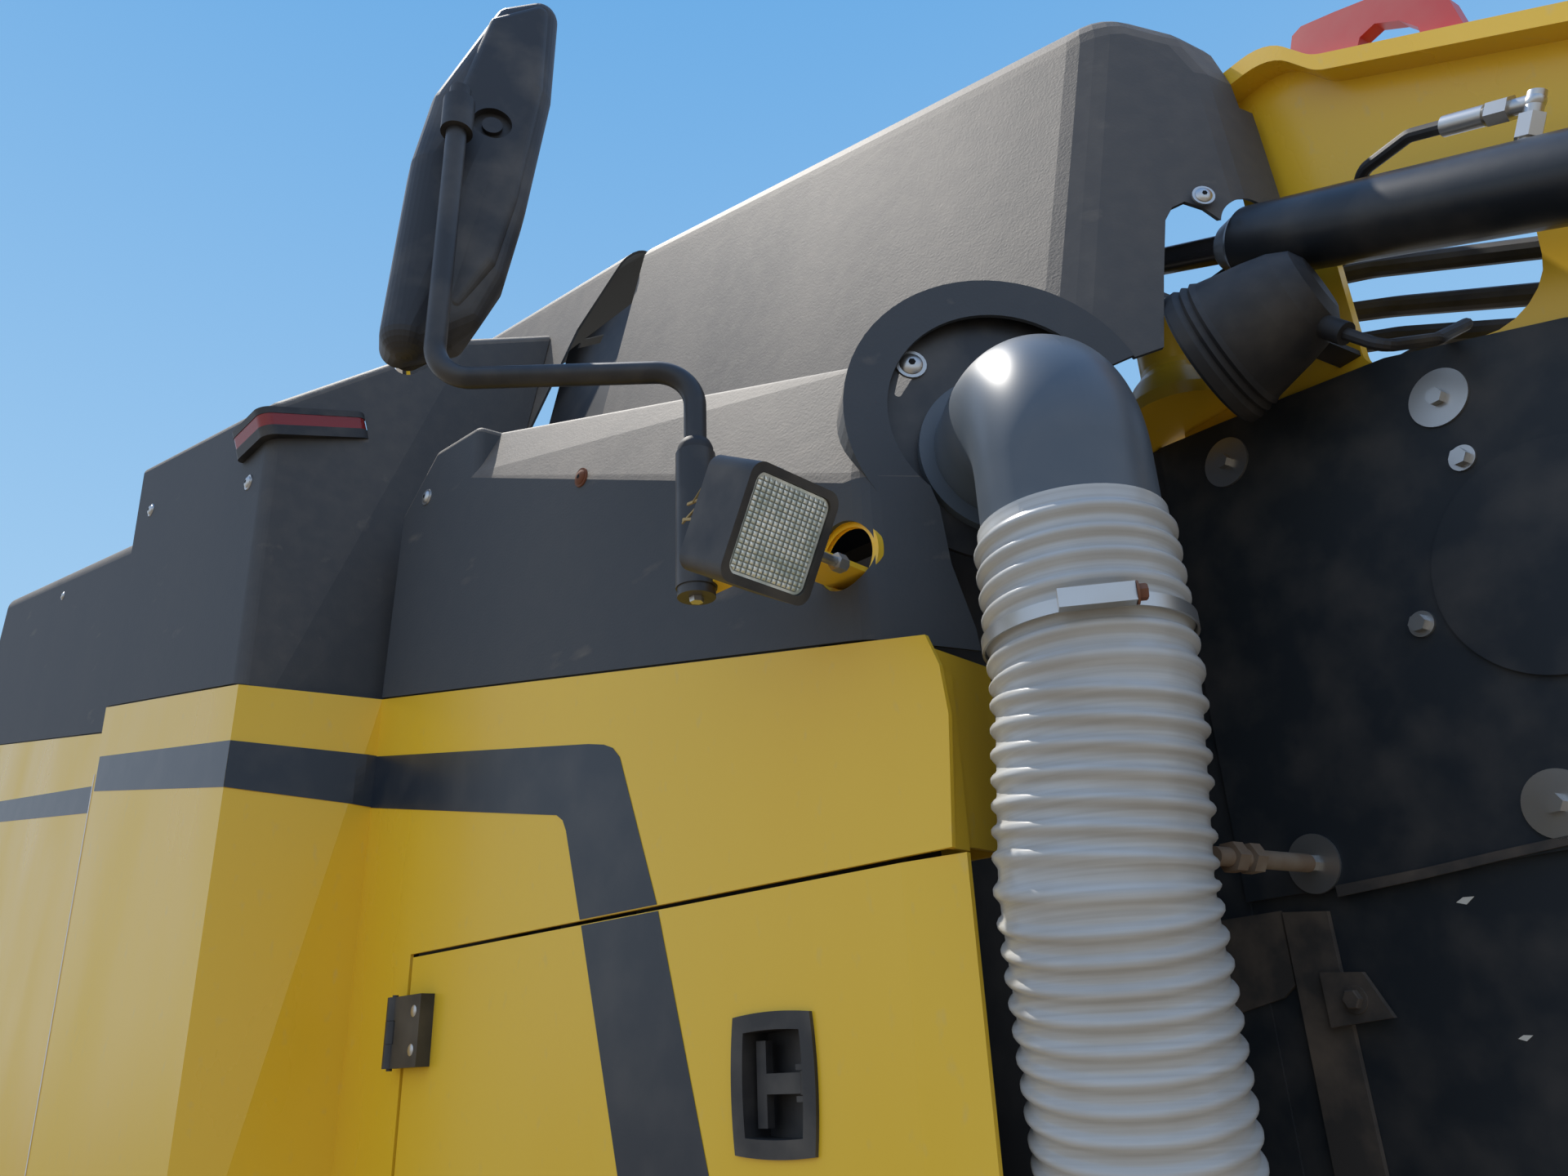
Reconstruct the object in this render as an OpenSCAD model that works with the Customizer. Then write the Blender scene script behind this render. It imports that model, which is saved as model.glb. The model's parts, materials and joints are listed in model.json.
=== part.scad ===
// Front right corner of a road milling machine's bodywork: side panels, pillar,
// moulded covers, service door, suction duct and hose, mirror, work lamp and
// the side cheek of the discharge conveyor's carrier.
// Every position is measured from the corner datum: x is forward, y is inboard
// from the outer face of the side panels, z is up from the datum line.
// The mounting plate's centre is the origin of the finished part.

/* [Body] */
// Thickness of the steel panels and of the moulded covers
skin_t = 5; // [4:0.5:6]
// Rear end of the bodywork section
rear_x = -5150; // [-5200:10:-4900]
// Lower edge of the bodywork
bottom_z = -430; // [-450:5:-400]
// Height of the seam between panels and covers at the front edge
seam_z = 376; // [365:1:385]
// Slope of that seam, falling towards the front
seam_deg = 11.1; // [10:0.1:12]
// Front edge of the side panel
front_x = -590; // [-595:1:-588]
// Corner between the side panel and the pillar
valley_x = -1712; // [-1716:1:-1708]
// How far the pillar stands out from the side panels
pillar_out = 210; // [200:5:215]

/* [Mounting plate] */
// Spacing of the mounting bolts along the machine
mount_dx = 300; // [260:10:320]
// Spacing of the mounting bolts upwards
mount_dz = 300; // [260:10:320]
// Diameter of the mounting bolt holes
mount_hole_d = 22; // [18:1:26]
// Thickness of the mounting plate
mount_t = 12; // [10:1:15]

/* [Service door] */
// Upper edge of the door
door_top = 170; // [165:1:175]
// Height of the door
door_h = 500; // [460:10:520]
// Gap around the door
door_gap = 5; // [5:0.5:7]
// Diameter of the hinge pins
pin_d = 8; // [6:1:10]
// Radial play of the hinge pins
pin_play = 0.05; // [0.02:0.01:0.08]

/* [Suction duct] */
// Outer diameter of the elbow, which is also the hose's bore
duct_d = 160; // [158:1:162]
// Height of the hose's ridges above its wall
ridge_h = 5; // [3:0.5:6]
// Pitch of the hose's ridges
ridge_pitch = 21; // [20:1:24]

/* [Mirror and lamp] */
// Diameter of the mirror's tube
arm_d = 25; // [22:1:28]
// Radial play of the tube in its socket and of the head on the tube
arm_play = 0.1; // [0.05:0.01:0.1]
// Width and height of the square work lamp
lamp_w = 108; // [100:1:115]
// Downward tilt of the work lamp
lamp_tilt = 29; // [15:1:35]

/* [Carrier cheek] */
// Yaw of the cheek from the machine's axis
cheek_deg = 15; // [14:0.5:16]
// Outer diameter of the slewing cylinder's barrel
barrel_d = 90; // [80:1:95]
// Diameter of the cylinder's rod
rod_d = 36; // [32:1:45]
// Thickness of the rubber curtains
curtain_t = 8; // [6:1:8]

/* [Hidden] */
$fn = 48;
mount_at = [-1400, 700, -180];
yellow = "gold";
grey = "dimgray";
black = "#202224";
steel = "silver";

// The seam between the yellow panels and the grey covers
function seam(x) = seam_z + tan(seam_deg) * (front_x - 10 - x);
seam_gap = 3;

// Moves a module from the corner datum to the finished part's origin
module at_corner() translate(-mount_at) children();

// Upright wall along the machine, with its outer face at y
module side_wall(y, t, outline)
    translate([0, y + t, 0]) rotate([90, 0, 0]) linear_extrude(t) polygon(outline);

// Block from its lowest corner to its highest corner
module block(a, b) translate(a) cube(b - a);

// Plate whose outer face has the given corners, thickened by the vector v
module plate(corners, v) {
    n = len(corners);
    polyhedron(
        points = concat(corners, [for (c = corners) c + v]),
        faces = concat(
            [for (i = [1 : n - 2]) [0, i + 1, i]],
            [for (i = [1 : n - 2]) [n, n + i, n + i + 1]],
            [for (i = [0 : n - 1]) each let (k = (i + 1) % n) [[i, k, n + k], [i, n + k, n + i]]]));
}

// Rounded solid around a table of balls [x, y, z, radius], drawn in by inset
module rounded_solid(balls, inset)
    hull() for (b = balls) translate([b[0], b[1], b[2]]) sphere(b[3] - inset, $fn = 28);

// Moulded cover: the skin of that solid
module moulded_skin(balls) difference() {
    rounded_solid(balls, 0);
    rounded_solid(balls, skin_t);
}

// Routes with rounded corners, and tubes swept along them
function unit(v) = v / norm(v);
function corner_arc(a, b, c, r, n) =
    let (u = unit(a - b), w = unit(c - b), half = acos(u * w) / 2, turn = 180 - 2 * half,
        centre = b + unit(u + w) * r / sin(half),
        from = b + u * r / tan(half) - centre, to = b + w * r / tan(half) - centre)
    [for (i = [0 : n]) centre + (sin((1 - i / n) * turn) * from + sin(i / n * turn) * to) / sin(turn)];
function route(p, r, n = 6) = concat([p[0]],
    [for (i = [1 : len(p) - 2]) each corner_arc(p[i - 1], p[i], p[i + 1], r, n)],
    [p[len(p) - 1]]);
function tangent(p, i) = unit(p[min(i + 1, len(p) - 1)] - p[max(i - 1, 0)]);
function hoop(centre, along, side, r, sides) = let (n = unit(cross(side, along)), b = cross(along, n))
    [for (k = [0 : sides - 1]) centre + r * (cos(360 * k / sides) * n + sin(360 * k / sides) * b)];

// side is a direction that the route never follows; r_at gives a radius for each point
module swept(p, r_at, side, sides = 16) {
    last = len(p) - 1;
    polyhedron(
        points = [for (i = [0 : last]) each hoop(p[i], tangent(p, i), side, r_at[i], sides)],
        faces = concat(
            [[for (k = [0 : sides - 1]) k]],
            [[for (k = [0 : sides - 1]) (last + 1) * sides - 1 - k]],
            [for (i = [0 : last - 1], k = [0 : sides - 1])
                [i * sides + k, (i + 1) * sides + k, (i + 1) * sides + (k + 1) % sides,
                    i * sides + (k + 1) % sides]]));
}
module tube(p, r, side, sides = 16) swept(p, [for (q = p) r], side, sides);

// Frame behind the skins: posts stand on the bottom rails, cross rails join the two long ones
post_w = 60;
rail_w = 80;
seat = 0.3;
hood_rail_h = 40;
inboard_y = mount_at[1];
rail_top = bottom_z + rail_w;
outer_rail_y = 40;
inner_rail_y = inboard_y - mount_t - rail_w;
skin_post_y = skin_t + seat;
frame_rear_x = rear_x + 60;
pillar_post_x = -2520;
valley_post_x = valley_x + 12;
front_post_x = -740;
front_post_y = 40;
front_face_x = front_post_x + post_w;
bulkhead_t = 5;
hood_rail_z = 640;
rear_hood_rail_z = 1100;
hood_rail_y = 180;
rear_hood_rail_y = 256;
skin_posts = [frame_rear_x, -4250, -3430, pillar_post_x];
mid_rail_x = -1400;
stiffener_w = 50;

// Columns: rear end, outer face, top, width
post_table = concat(
    [for (x = skin_posts) [x, skin_post_y, seam(x) + 420, post_w]],
    [[valley_post_x, skin_post_y, 900, post_w], [front_post_x, front_post_y, 498, post_w]],
    [for (x = [pillar_post_x, valley_post_x]) [x, rear_hood_rail_y, rear_hood_rail_z - hood_rail_h, post_w]],
    [for (x = [mid_rail_x, front_face_x - rail_w]) [x, hood_rail_y, hood_rail_z - hood_rail_h, post_w]],
    [for (x = [mount_at[0] - 240, mount_at[0] + 180])
        [x, inboard_y - mount_t - stiffener_w, 60, stiffener_w]]);
module frame_posts() color("#3a3c3e") {
    for (p = post_table) block([p[0], p[1], rail_top], [p[0] + p[3], p[1] + p[3], p[2]]);
    in_cheek() block([cheek_post_x, cheek_t, rail_top], [cheek_post_x + rail_w, cheek_t + post_w, rod_bracket_z - seat]);
}

// A sloped rail right behind the seam, between two posts
module seam_rail(x0, x1) side_wall(skin_post_y, 40,
    [[x0, seam(x0) - 25], [x1, seam(x1) - 25], [x1, seam(x1) + 25], [x0, seam(x0) + 25]]);

// Columns: rear end, front end, outer face, top
hood_rail_table = [[mid_rail_x, front_face_x, hood_rail_y, hood_rail_z],
    [pillar_post_x, valley_post_x + post_w, rear_hood_rail_y, rear_hood_rail_z]];
module frame_rails() color("#3a3c3e") {
    block([frame_rear_x, outer_rail_y, bottom_z], [front_face_x, outer_rail_y + rail_w, rail_top]);
    block([frame_rear_x, inner_rail_y, bottom_z], [-400, inner_rail_y + rail_w, rail_top]);
    for (i = [0 : len(skin_posts) - 2]) seam_rail(skin_posts[i] + post_w, skin_posts[i + 1]);
    seam_rail(valley_post_x + post_w, front_post_x);
    for (r = hood_rail_table) block([r[0], r[2], r[3] - hood_rail_h], [r[1], r[2] + post_w, r[3]]);
    in_cheek() for (x = [[-590, cheek_post_x], [cheek_post_x + rail_w, 200]])
        block([x[0], curtain_t, 140], [x[1], 60, 200]);
}

module frame_cross_rails() color("#3a3c3e") {
    for (x = concat(skin_posts, [valley_post_x, mid_rail_x, front_face_x - rail_w]))
        block([x, outer_rail_y + rail_w, bottom_z], [x + rail_w, inner_rail_y, rail_top]);
    block([-500, 560, bottom_z], [-400, inner_rail_y, rail_top]);
}

module mounting_plate() color("#3a3c3e") difference() {
    block([mount_at[0] - 250, inboard_y - mount_t, bottom_z], [mount_at[0] + 250, inboard_y, 70]);
    for (i = [-1, 1], k = [-1, 1])
        translate([mount_at[0] + i * mount_dx / 2, inboard_y - mount_t - 1, mount_at[2] + k * mount_dz / 2])
            rotate([-90, 0, 0]) cylinder(d = mount_hole_d, h = mount_t + 2);
}

// Shelves that stiffen the pillar; columns: lower face, front end, front end between the posts
shelf_t = 30;
shelf_table = [[rail_top, -1766, valley_post_x], [300, -1766, valley_post_x], [800, -1818, -1800]];
module pillar_shelves() color("#3a3c3e") for (s = shelf_table) {
    rear = pillar_rear(s[0]) + skin_t + 2;
    translate([0, 0, s[0]]) linear_extrude(shelf_t) polygon([
        [rear, pillar_y + skin_t + 1], [s[1], pillar_y + skin_t + 1], [s[1], skin_post_y],
        [s[2], skin_post_y], [s[2], skin_post_y + post_w],
        [pillar_post_x + post_w, skin_post_y + post_w], [pillar_post_x + post_w, skin_post_y], [rear, skin_post_y]]);
}

// Sheets that close the section inboard and at its front, and the shelf of the lower duct
module inner_bulkhead() color("#3a3c3e")
    block([frame_rear_x, inner_rail_y + 4, rail_top], [front_face_x, inner_rail_y + 4 + bulkhead_t, 1040]);
module front_bulkhead() color("#3a3c3e")
    block([front_face_x, front_post_y, bottom_z], [front_face_x + bulkhead_t, inner_rail_y - 8, hood_rail_z]);
duct_shelf_z = -410;
duct_shelf_t = 10;
module duct_shelf() color("#3a3c3e") difference() {
    union() {
        block([front_face_x + bulkhead_t, 40, duct_shelf_z], [-430, 240, duct_shelf_z + duct_shelf_t]);
        block([front_face_x + bulkhead_t, 40, bottom_z], [front_face_x + bulkhead_t + 10, 240, duct_shelf_z + 1]);
    }
    translate([lower_duct_at[0], lower_duct_at[1], duct_shelf_z - 1]) cylinder(d = duct_d - 10, h = duct_shelf_t + 2);
}

// Dark sheet behind the gap of the two hoods, with the slot that lets the light through
gap_x = [-1760, -1450];
gap_screen_t = 4;
module gap_screen() color("#3a3c3e") difference() {
    plate([for (q = [[0, rear_hood_rail_z], [1, rear_hood_rail_z], [1, 1470], [0, 1470]])
        [gap_x[q[0]], hood_wall_y(q[1]) + 12, q[1]]], [0, gap_screen_t, 0]);
    side_wall(200, 300, [[-1722, 1455], [-1628, 1415], [-1622, 1436], [-1718, 1478]]);
}

// Carrier's side: y is 0 at the cheek's outer face, positive inboard
cheek_y = 400;
cheek_t = 12;
cheek_post_x = -520;
module in_cheek() translate([0, cheek_y, 0]) rotate([0, 0, -cheek_deg]) children();
module rod_bracket() color("#3a3c3e") in_cheek() {
    block([rod_eye_x - 35, -barrel_out - 30, rod_bracket_z], [rod_eye_x + 35, cheek_t + post_w, rod_bracket_z + 15]);
    block([rod_eye_x - 35, cheek_t, rod_bracket_z],
        [cheek_post_x + rail_w, cheek_t + post_w, rod_bracket_z + 15]);
}

// Rear side panel, behind the pillar
module rear_side_panel() color(yellow) side_wall(0, skin_t, [
    [rear_x, bottom_z], [pillar_rear(bottom_z) - seam_gap, bottom_z],
    [pillar_rear(seam(pillar_rear(700))) - seam_gap, seam(pillar_rear(700)) - seam_gap],
    [rear_x, seam(rear_x) - seam_gap]]);

// Rear hood cover: a long bent sheet with a round upper edge
rear_cover_r = 60;
rear_cover_top = 1548;
rear_cover_deg = 12.1;
module rounded_corner(w, h, r) union() {
    translate([r, 0]) square([w - r, h]);
    square([w, h - r]);
    translate([r, h - r]) circle(r);
}
rear_cover_x = -3482;
rear_cover_h = 1200;
rear_cover_front_x = -2500;
module rear_hood_cover() color(grey) intersection() {
    translate([rear_cover_x, 0, rear_cover_top]) rotate([0, rear_cover_deg, 0])
        translate([rear_x - rear_cover_x - 300, 0, -rear_cover_h])
        rotate([90, 0, 90]) linear_extrude(rear_cover_front_x - rear_x + 800) difference() {
            rounded_corner(700, rear_cover_h, rear_cover_r);
            translate([skin_t, -skin_t]) rounded_corner(700, rear_cover_h, rear_cover_r - skin_t);
        }
    side_wall(-1, 560, [[rear_x, seam(rear_x)], [rear_cover_front_x, seam(rear_cover_front_x)],
        [rear_cover_front_x, 2400], [rear_x, 2400]]);
}

// Pillar: the outer wall leans back at its rear edge, the front wall returns to the valley
pillar_y = -pillar_out;
function pillar_front(z) = -1737 - 0.038 * (z + 89);
pillar_seam_drop = 14;
function pillar_seam(x) = seam(x) - pillar_seam_drop;
function pillar_rear(z) = -2400 - 0.115 * (z + 72);
module pillar_panel() color(yellow) {
    front_top = pillar_front(pillar_seam(-1750));
    rear_top = pillar_rear(pillar_seam(pillar_rear(700)));
    side_wall(pillar_y, skin_t, [
        [pillar_rear(bottom_z), bottom_z], [pillar_front(bottom_z), bottom_z],
        [front_top, pillar_seam(front_top) - seam_gap], [rear_top, pillar_seam(rear_top) - seam_gap]]);
    plate([[pillar_front(bottom_z), pillar_y, bottom_z], [valley_x, 0, bottom_z],
        [valley_x, 0, seam(valley_x) - seam_gap], [front_top, pillar_y, pillar_seam(front_top) - seam_gap]],
        [-skin_t, 0, 0]);
    rear_wall = [[pillar_rear(bottom_z), bottom_z], [pillar_rear(bottom_z) + skin_t, bottom_z],
        [rear_top + skin_t, pillar_seam(rear_top) - seam_gap], [rear_top, pillar_seam(rear_top) - seam_gap]];
    side_wall(pillar_y, pillar_out + skin_t, rear_wall);
}

// Pillar cap; columns: x, y, z and radius of each rounded corner
cap_r = 22;
cap_balls = [
    [-1761 - cap_r, pillar_y + cap_r, 500, cap_r],
    [-1830, pillar_y + cap_r, 1115, cap_r],
    [-2800, pillar_y + cap_r, 500, cap_r],
    [-2800, 600, 500, cap_r],
    [-2800, pillar_y + cap_r, 1355, cap_r],
    [-1761 - cap_r, 600, 500, cap_r],
    [-1815, 138, 1395, cap_r],
    [-1815, 600, 1640, cap_r],
    [-2800, 138, 1600, cap_r],
    [-2800, 600, 1860, cap_r]];
module pillar_cap() color(grey) difference() {
    intersection() {
        moulded_skin(cap_balls);
        side_wall(-300, 700, [[-1700, pillar_seam(-1700)], [-1700, 2000], [pillar_rear(2000) + 40, 2000],
            [pillar_rear(1324) - 22, 1324], [pillar_rear(719), pillar_seam(pillar_rear(719))]]);
    }
    behind_hood_wall(-2900, -1600, 1055, 2100, lip + 3);
    in_marker() translate([0, 0, -marker_h / 2 - seat]) linear_extrude(marker_h + 2 * seat) marker_plan(seat);
}

// Marker lamp wrapped round the cap's corner: a lens band between two halves of its body
marker_at = [-1808, -212, 1073];
marker_deg = 19;
marker_r = 22;
marker_h = 52;
marker_legs = [92, 156];
lens_band = [-8, 14];
module in_marker() translate(marker_at) rotate([marker_deg, 0, 0]) children();
module marker_plan(grow) union() {
    for (c = [[0, 0], [-marker_legs[0], 0], [0, marker_legs[1]]]) translate(c) circle(marker_r + grow);
    translate([-marker_legs[0], -marker_r - grow]) square([marker_legs[0], 2 * (marker_r + grow)]);
    translate([-marker_r - grow, 0]) square([2 * (marker_r + grow), marker_legs[1]]);
}
module marker_layer(z0, z1, grow) translate([0, 0, z0]) linear_extrude(z1 - z0) marker_plan(grow);
module marker_lamp_base() color(black) in_marker() {
    marker_layer(-marker_h / 2, lens_band[0], 0);
    marker_layer(lens_band[1], marker_h / 2, 0);
}
module marker_lamp_lens() color("darkred") in_marker() marker_layer(lens_band[0], lens_band[1], -1);

// Side panel with the door's opening, and its turned edge at the front
strip_x = -1540;
module side_panel() color(yellow) {
    side_wall(0, skin_t, [
        [valley_x, bottom_z], [strip_x, bottom_z], [strip_x, door_top + door_gap],
        [front_x - 2, door_top + door_gap], [front_x + 8, seam_z - 84], [front_x + 3, seam_z - 36],
        [front_x - 10, seam_z - seam_gap], [valley_x, seam(valley_x) - seam_gap]]);
    block([front_x - 10, skin_t, door_top + door_gap], [front_x - 5, 30, seam_z - 36]);
}

// Service door: a folded pan with a bent front strip
door_rear_x = strip_x + door_gap + 3;
door_front_x = -583;
fold_x = -650;
door_bottom = door_top - door_h;
latch_at = [-820, 0, -7];
latch_w = 112;
latch_h = 126;
module latch_outline(grow) intersection_for(s = [-1, 1]) {
    intersection() {
        translate([s * 400, 0]) circle(400 + latch_w / 2 + grow, $fn = 160);
        translate([0, s * 400]) circle(400 + latch_h / 2 + grow, $fn = 160);
    }
}
module service_door() color(yellow) difference() {
    union() {
        side_wall(0, skin_t, [[door_rear_x, door_bottom], [fold_x, door_bottom], [fold_x, door_top],
            [door_rear_x, door_top]]);
        plate([[fold_x, 0, door_bottom], [door_front_x, 8, door_bottom], [door_front_x, 8, door_top],
            [fold_x, 0, door_top]], [0, skin_t, 0]);
        for (z = [door_bottom, door_top - skin_t])
            block([door_rear_x, skin_t, z], [fold_x - 20, 25, z + skin_t]);
        block([door_rear_x, skin_t, door_bottom], [door_rear_x + skin_t, 25, door_top]);
        for (x = [-1200, -1000])
            block([x, skin_t, door_bottom + 60], [x + 40, 15, door_top - 60]);
    }
    translate(latch_at) rotate([90, 0, 0]) linear_extrude(80, center = true) latch_outline(-8);
}

// Block hinges: the frame leaves carry the pins, the door leaves turn on them
hinge_at = [-1543, -15];
hinge_z = [73, door_bottom + 97];
hinge_h = 90;
knuckle_d = 20;
function knuckle_z(z) = [z - hinge_h / 2, z - 15, z + 15, z + hinge_h / 2];
module knuckle(z0, z1) translate([hinge_at[0], hinge_at[1], z0]) cylinder(d = knuckle_d, h = z1 - z0);
module pin_bore(z0, z1, grow) translate([hinge_at[0], hinge_at[1], z0]) cylinder(d = pin_d + grow, h = z1 - z0);
module hinge_frame_leaves() color(black) for (z = hinge_z) {
    k = knuckle_z(z);
    knuckle(k[1] + 0.5, k[2] - 0.5);
    block([hinge_at[0] - 12, -20, k[1] + 0.5], [hinge_at[0], 0, k[2] - 0.5]);
    pin_bore(k[0] - 3, k[3] + 3, 0);
}
module hinge_door_leaves() color(black) for (z = hinge_z) {
    k = knuckle_z(z);
    difference() {
        union() {
            for (i = [0, 2]) knuckle(k[i], k[i + 1]);
            for (i = [0, 2]) block([hinge_at[0], -20, k[i]], [hinge_at[0] + 22, -5, k[i + 1]]);
            block([hinge_at[0] + 14, -20, k[0]], [hinge_at[0] + 80, 0, k[3]]);
        }
        pin_bore(k[0] - 1, k[3] + 1, 2 * pin_play);
        translate([hinge_at[0], hinge_at[1], k[1]]) cylinder(d = knuckle_d + 4, h = k[2] - k[1]);
    }
}

// Flush latch: dished cup and folding T handle
cup_depth = 34;
handle_pivot = [latch_at[0] + 30, 14];
module latch_cup() color(black) translate(latch_at) {
    difference() {
        union() {
            rotate([90, 0, 0]) linear_extrude(4) latch_outline(0);
            translate([0, cup_depth, 0]) rotate([90, 0, 0]) linear_extrude(cup_depth) latch_outline(-9);
        }
        translate([0, cup_depth - 4, 0]) rotate([90, 0, 0]) linear_extrude(60) latch_outline(-16);
    }
    translate([handle_pivot[0] - latch_at[0], handle_pivot[1], 0]) difference() {
        for (z = [-16, 11]) translate([-8, -8, z]) cube([16, cup_depth - 4 - 6, 5]);
        translate([0, 0, -30]) cylinder(d = 6 + 2 * pin_play, h = 60);
    }
}
module latch_handle() color(black) translate([handle_pivot[0], handle_pivot[1], latch_at[2]]) {
    translate([0, 0, -10]) cylinder(d = 15, h = 20);
    translate([-52, -6, -9]) cube([52, 9, 18]);
    translate([-62, -6, -38]) cube([13, 9, 76]);
    translate([0, 0, -18]) cylinder(d = 6, h = 36);
}

// Side cover: side wall, leaning facet and the arch around the duct's outlet
ring_at = [-561, 127, 650];
ring_deg = 40;
ring_r = 128;
ring_out_r = 176;
arch_depth = 110;
tip_deg = 26;
module in_ring() translate(ring_at) rotate([0, 0, 90 - ring_deg]) children();
bend_r = 45;
corner_x = -667 - tan(25) * bend_r;
// Columns: x, y, z and radius of each rounded corner
side_front_balls = [
    [-1500, 15, 100, 15], [-1500, 15, 915, 15], [-1500, 55, 1003, 15], [-1500, 500, 1060, 15],
    [corner_x, bend_r, 100, bend_r], [corner_x, bend_r, 565, bend_r],
    [-700, 70, 738, 15], [-480, 245, 100, 15], [-480, 245, 565, 15], [-520, 260, 700, 15],
    [-700, 500, 738, 15], [-1500, 500, 100, 15], [-480, 500, 100, 15]];
side_rear_balls = [
    [-1728, 15, 110, 15], [-1700, 15, 920, 15], [-1600, 15, 1000, 15], [-1480, 15, 990, 15], [-1480, 15, 110, 15],
    [-1700, 520, 940, 15], [-1600, 520, 1050, 15], [-1480, 520, 1050, 15],
    [-1728, 520, 110, 15], [-1480, 520, 110, 15]];
bracket_hole = [-697, 0, 489];
bracket_hole_d = 76;
module side_cover() color(grey) difference() {
    intersection() {
        union() {
            rounded_solid(side_front_balls, 0);
            rounded_solid(side_rear_balls, 0);
            in_ring() rotate([-90, 0, 0]) cylinder(r = ring_out_r, h = arch_depth, $fn = 64);
        }
        side_wall(-60, 360, [[-1760, seam(-1760)], [-560, seam(-560)], [-400, 365], [-400, 1100], [-1760, 1100]]);
    }
    rounded_solid(side_front_balls, skin_t);
    rounded_solid(side_rear_balls, skin_t);
    block([-1520, skin_t + 1, 100], [-1478, 500, 900]);
    intersection() {
        behind_hood_wall(-1760, 0, 400, 2000, 3);
        behind_nose(3);
    }
    arch_opening();
    block([-1760, 140, 0], [-800, 500, 1100]);
    translate(bracket_hole) rotate([90, 0, 0]) cylinder(d = bracket_hole_d, h = 80, center = true);
}
// Opening through the chamfer: the duct's round and the open front edge below it
module arch_opening() in_ring() {
    translate([0, -50, 0]) rotate([-90, 0, 0]) cylinder(r = ring_r, h = 400, $fn = 64);
    translate([0, skin_t, 0]) rotate([-90, 0, 0]) cylinder(r = ring_out_r - skin_t, h = 400, $fn = 64);
    translate([0, 400, 0]) rotate([90, 0, 0]) linear_extrude(460)
        polygon([[-90, -90], [-82, -116], [-76, -181], [-58, -252], [-50, -330], [400, -330], [400, 400 * tan(tip_deg)],
            [ring_r * cos(tip_deg), ring_r * sin(tip_deg)]]);
}

// Everything behind the hoods' leaning side wall, and behind the front hood's nose
module behind_hood_wall(x0, x1, z0, z1, out) translate([x0, 0, 0]) rotate([90, 0, 90]) linear_extrude(x1 - x0)
    polygon([[hood_wall_y(z0) - out, z0], [900, z0], [900, z1], [hood_wall_y(z1) - out, z1]]);
module behind_nose(out) in_nose() translate([-1500, 0, 0]) rotate([90, 0, 90]) linear_extrude(2000)
    polygon([[nose_lean * (400 - 850) - out, 400], [1500, 400], [1500, 2000], [nose_lean * (2000 - 850) - out, 2000]]);

// Front hood: leaning side wall, chamfered nose with a round shoulder
nose_at = [-494, 237];
nose_lean = 0.07;
function on_nose(x, y, z) = let (d = y + nose_lean * (z - 850))
    [nose_at[0] + (x - d) * cos(45), nose_at[1] + (x + d) * cos(45), z];
function hood_wall_y(z) = 225 + 0.2 * (z - 850);
nose_r = 60;
shoulder_r = 90;
hood_front_z = 1263;
// Columns: x, y, z and radius of each rounded corner
front_hood_balls = [
    [-1700, hood_wall_y(560) + nose_r, 560, nose_r], [-1700, hood_wall_y(1615) + nose_r, 1615, nose_r],
    [-570, hood_wall_y(560) + shoulder_r, 560, shoulder_r],
    [-499, hood_wall_y(hood_front_z) + shoulder_r, hood_front_z, shoulder_r],
    for (q = [[110, 0], [165, -23], [188, -78], [188, 560 - hood_front_z]])
        concat(on_nose(q[0], shoulder_r, hood_front_z + q[1]), shoulder_r),
    [-1700, 900, 1650, nose_r], [-500, 900, hood_front_z + 35, nose_r], [-200, 900, 560, nose_r],
    [-250, 900, hood_front_z - 85, nose_r],
    [-1700, 900, 560, nose_r]];
// Lower edge of the nose with the rod's gap, seen square to the nose
nose_edge = [[30, 500], [30, 727], [71, 742], [92, 851], [110, 935], [122, 955], [139, 964], [160, 953], [201, 904],
    [600, 904], [600, 500]];
module in_nose() translate([nose_at[0], nose_at[1], 0]) rotate([0, 0, 45]) children();
module front_hood() color(grey) difference() {
    intersection() {
        moulded_skin(front_hood_balls);
        side_wall(-60, 660, [[-1510, hood_rail_z], [-200, hood_rail_z], [-200, 2000], [-1490, 2000], [-1525, 1183]]);
    }
    in_nose() translate([0, 200, 0]) rotate([90, 0, 0]) linear_extrude(400) polygon(nose_edge);
    in_nose() block([278, -200, 500], [900, 900, 2000]);
    in_ring() translate([0, -30, 0]) rotate([-90, 0, 0]) cylinder(r = ring_out_r + 4, h = 60, $fn = 64);
    in_cheek() block([-400, -8, 600], [400, 900, 2000]);
    in_cheek() block([-420, -rim_out - 3, 1150], [400, 0, 2000]);
    in_barrel() translate([-150, 0, 0]) rotate([0, 90, 0]) cylinder(d = barrel_d + 20, h = 600);
}

// Rear hood with its lip, behind the gap
lip = 20;
rear_hood_balls = [
    [-3000, hood_wall_y(900) - lip + nose_r, 900, nose_r], [-3000, hood_wall_y(1850) - lip + nose_r, 1850, nose_r],
    [-1300, hood_wall_y(900) - lip + nose_r, 900, nose_r], [-1300, hood_wall_y(1515) - lip + nose_r, 1515, nose_r],
    [-3000, 900, 1910, nose_r], [-1300, 900, 1575, nose_r], [-3000, 900, 900, nose_r], [-1300, 900, 900, nose_r]];
module rear_hood() color(grey) intersection() {
    moulded_skin(rear_hood_balls);
    side_wall(-60, 680, [[-2480, rear_hood_rail_z], [-1840, rear_hood_rail_z], [-1682, 1467], [-1533, 1617],
        [-1533, 2000], [-2480, 2000]]);
}

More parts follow.
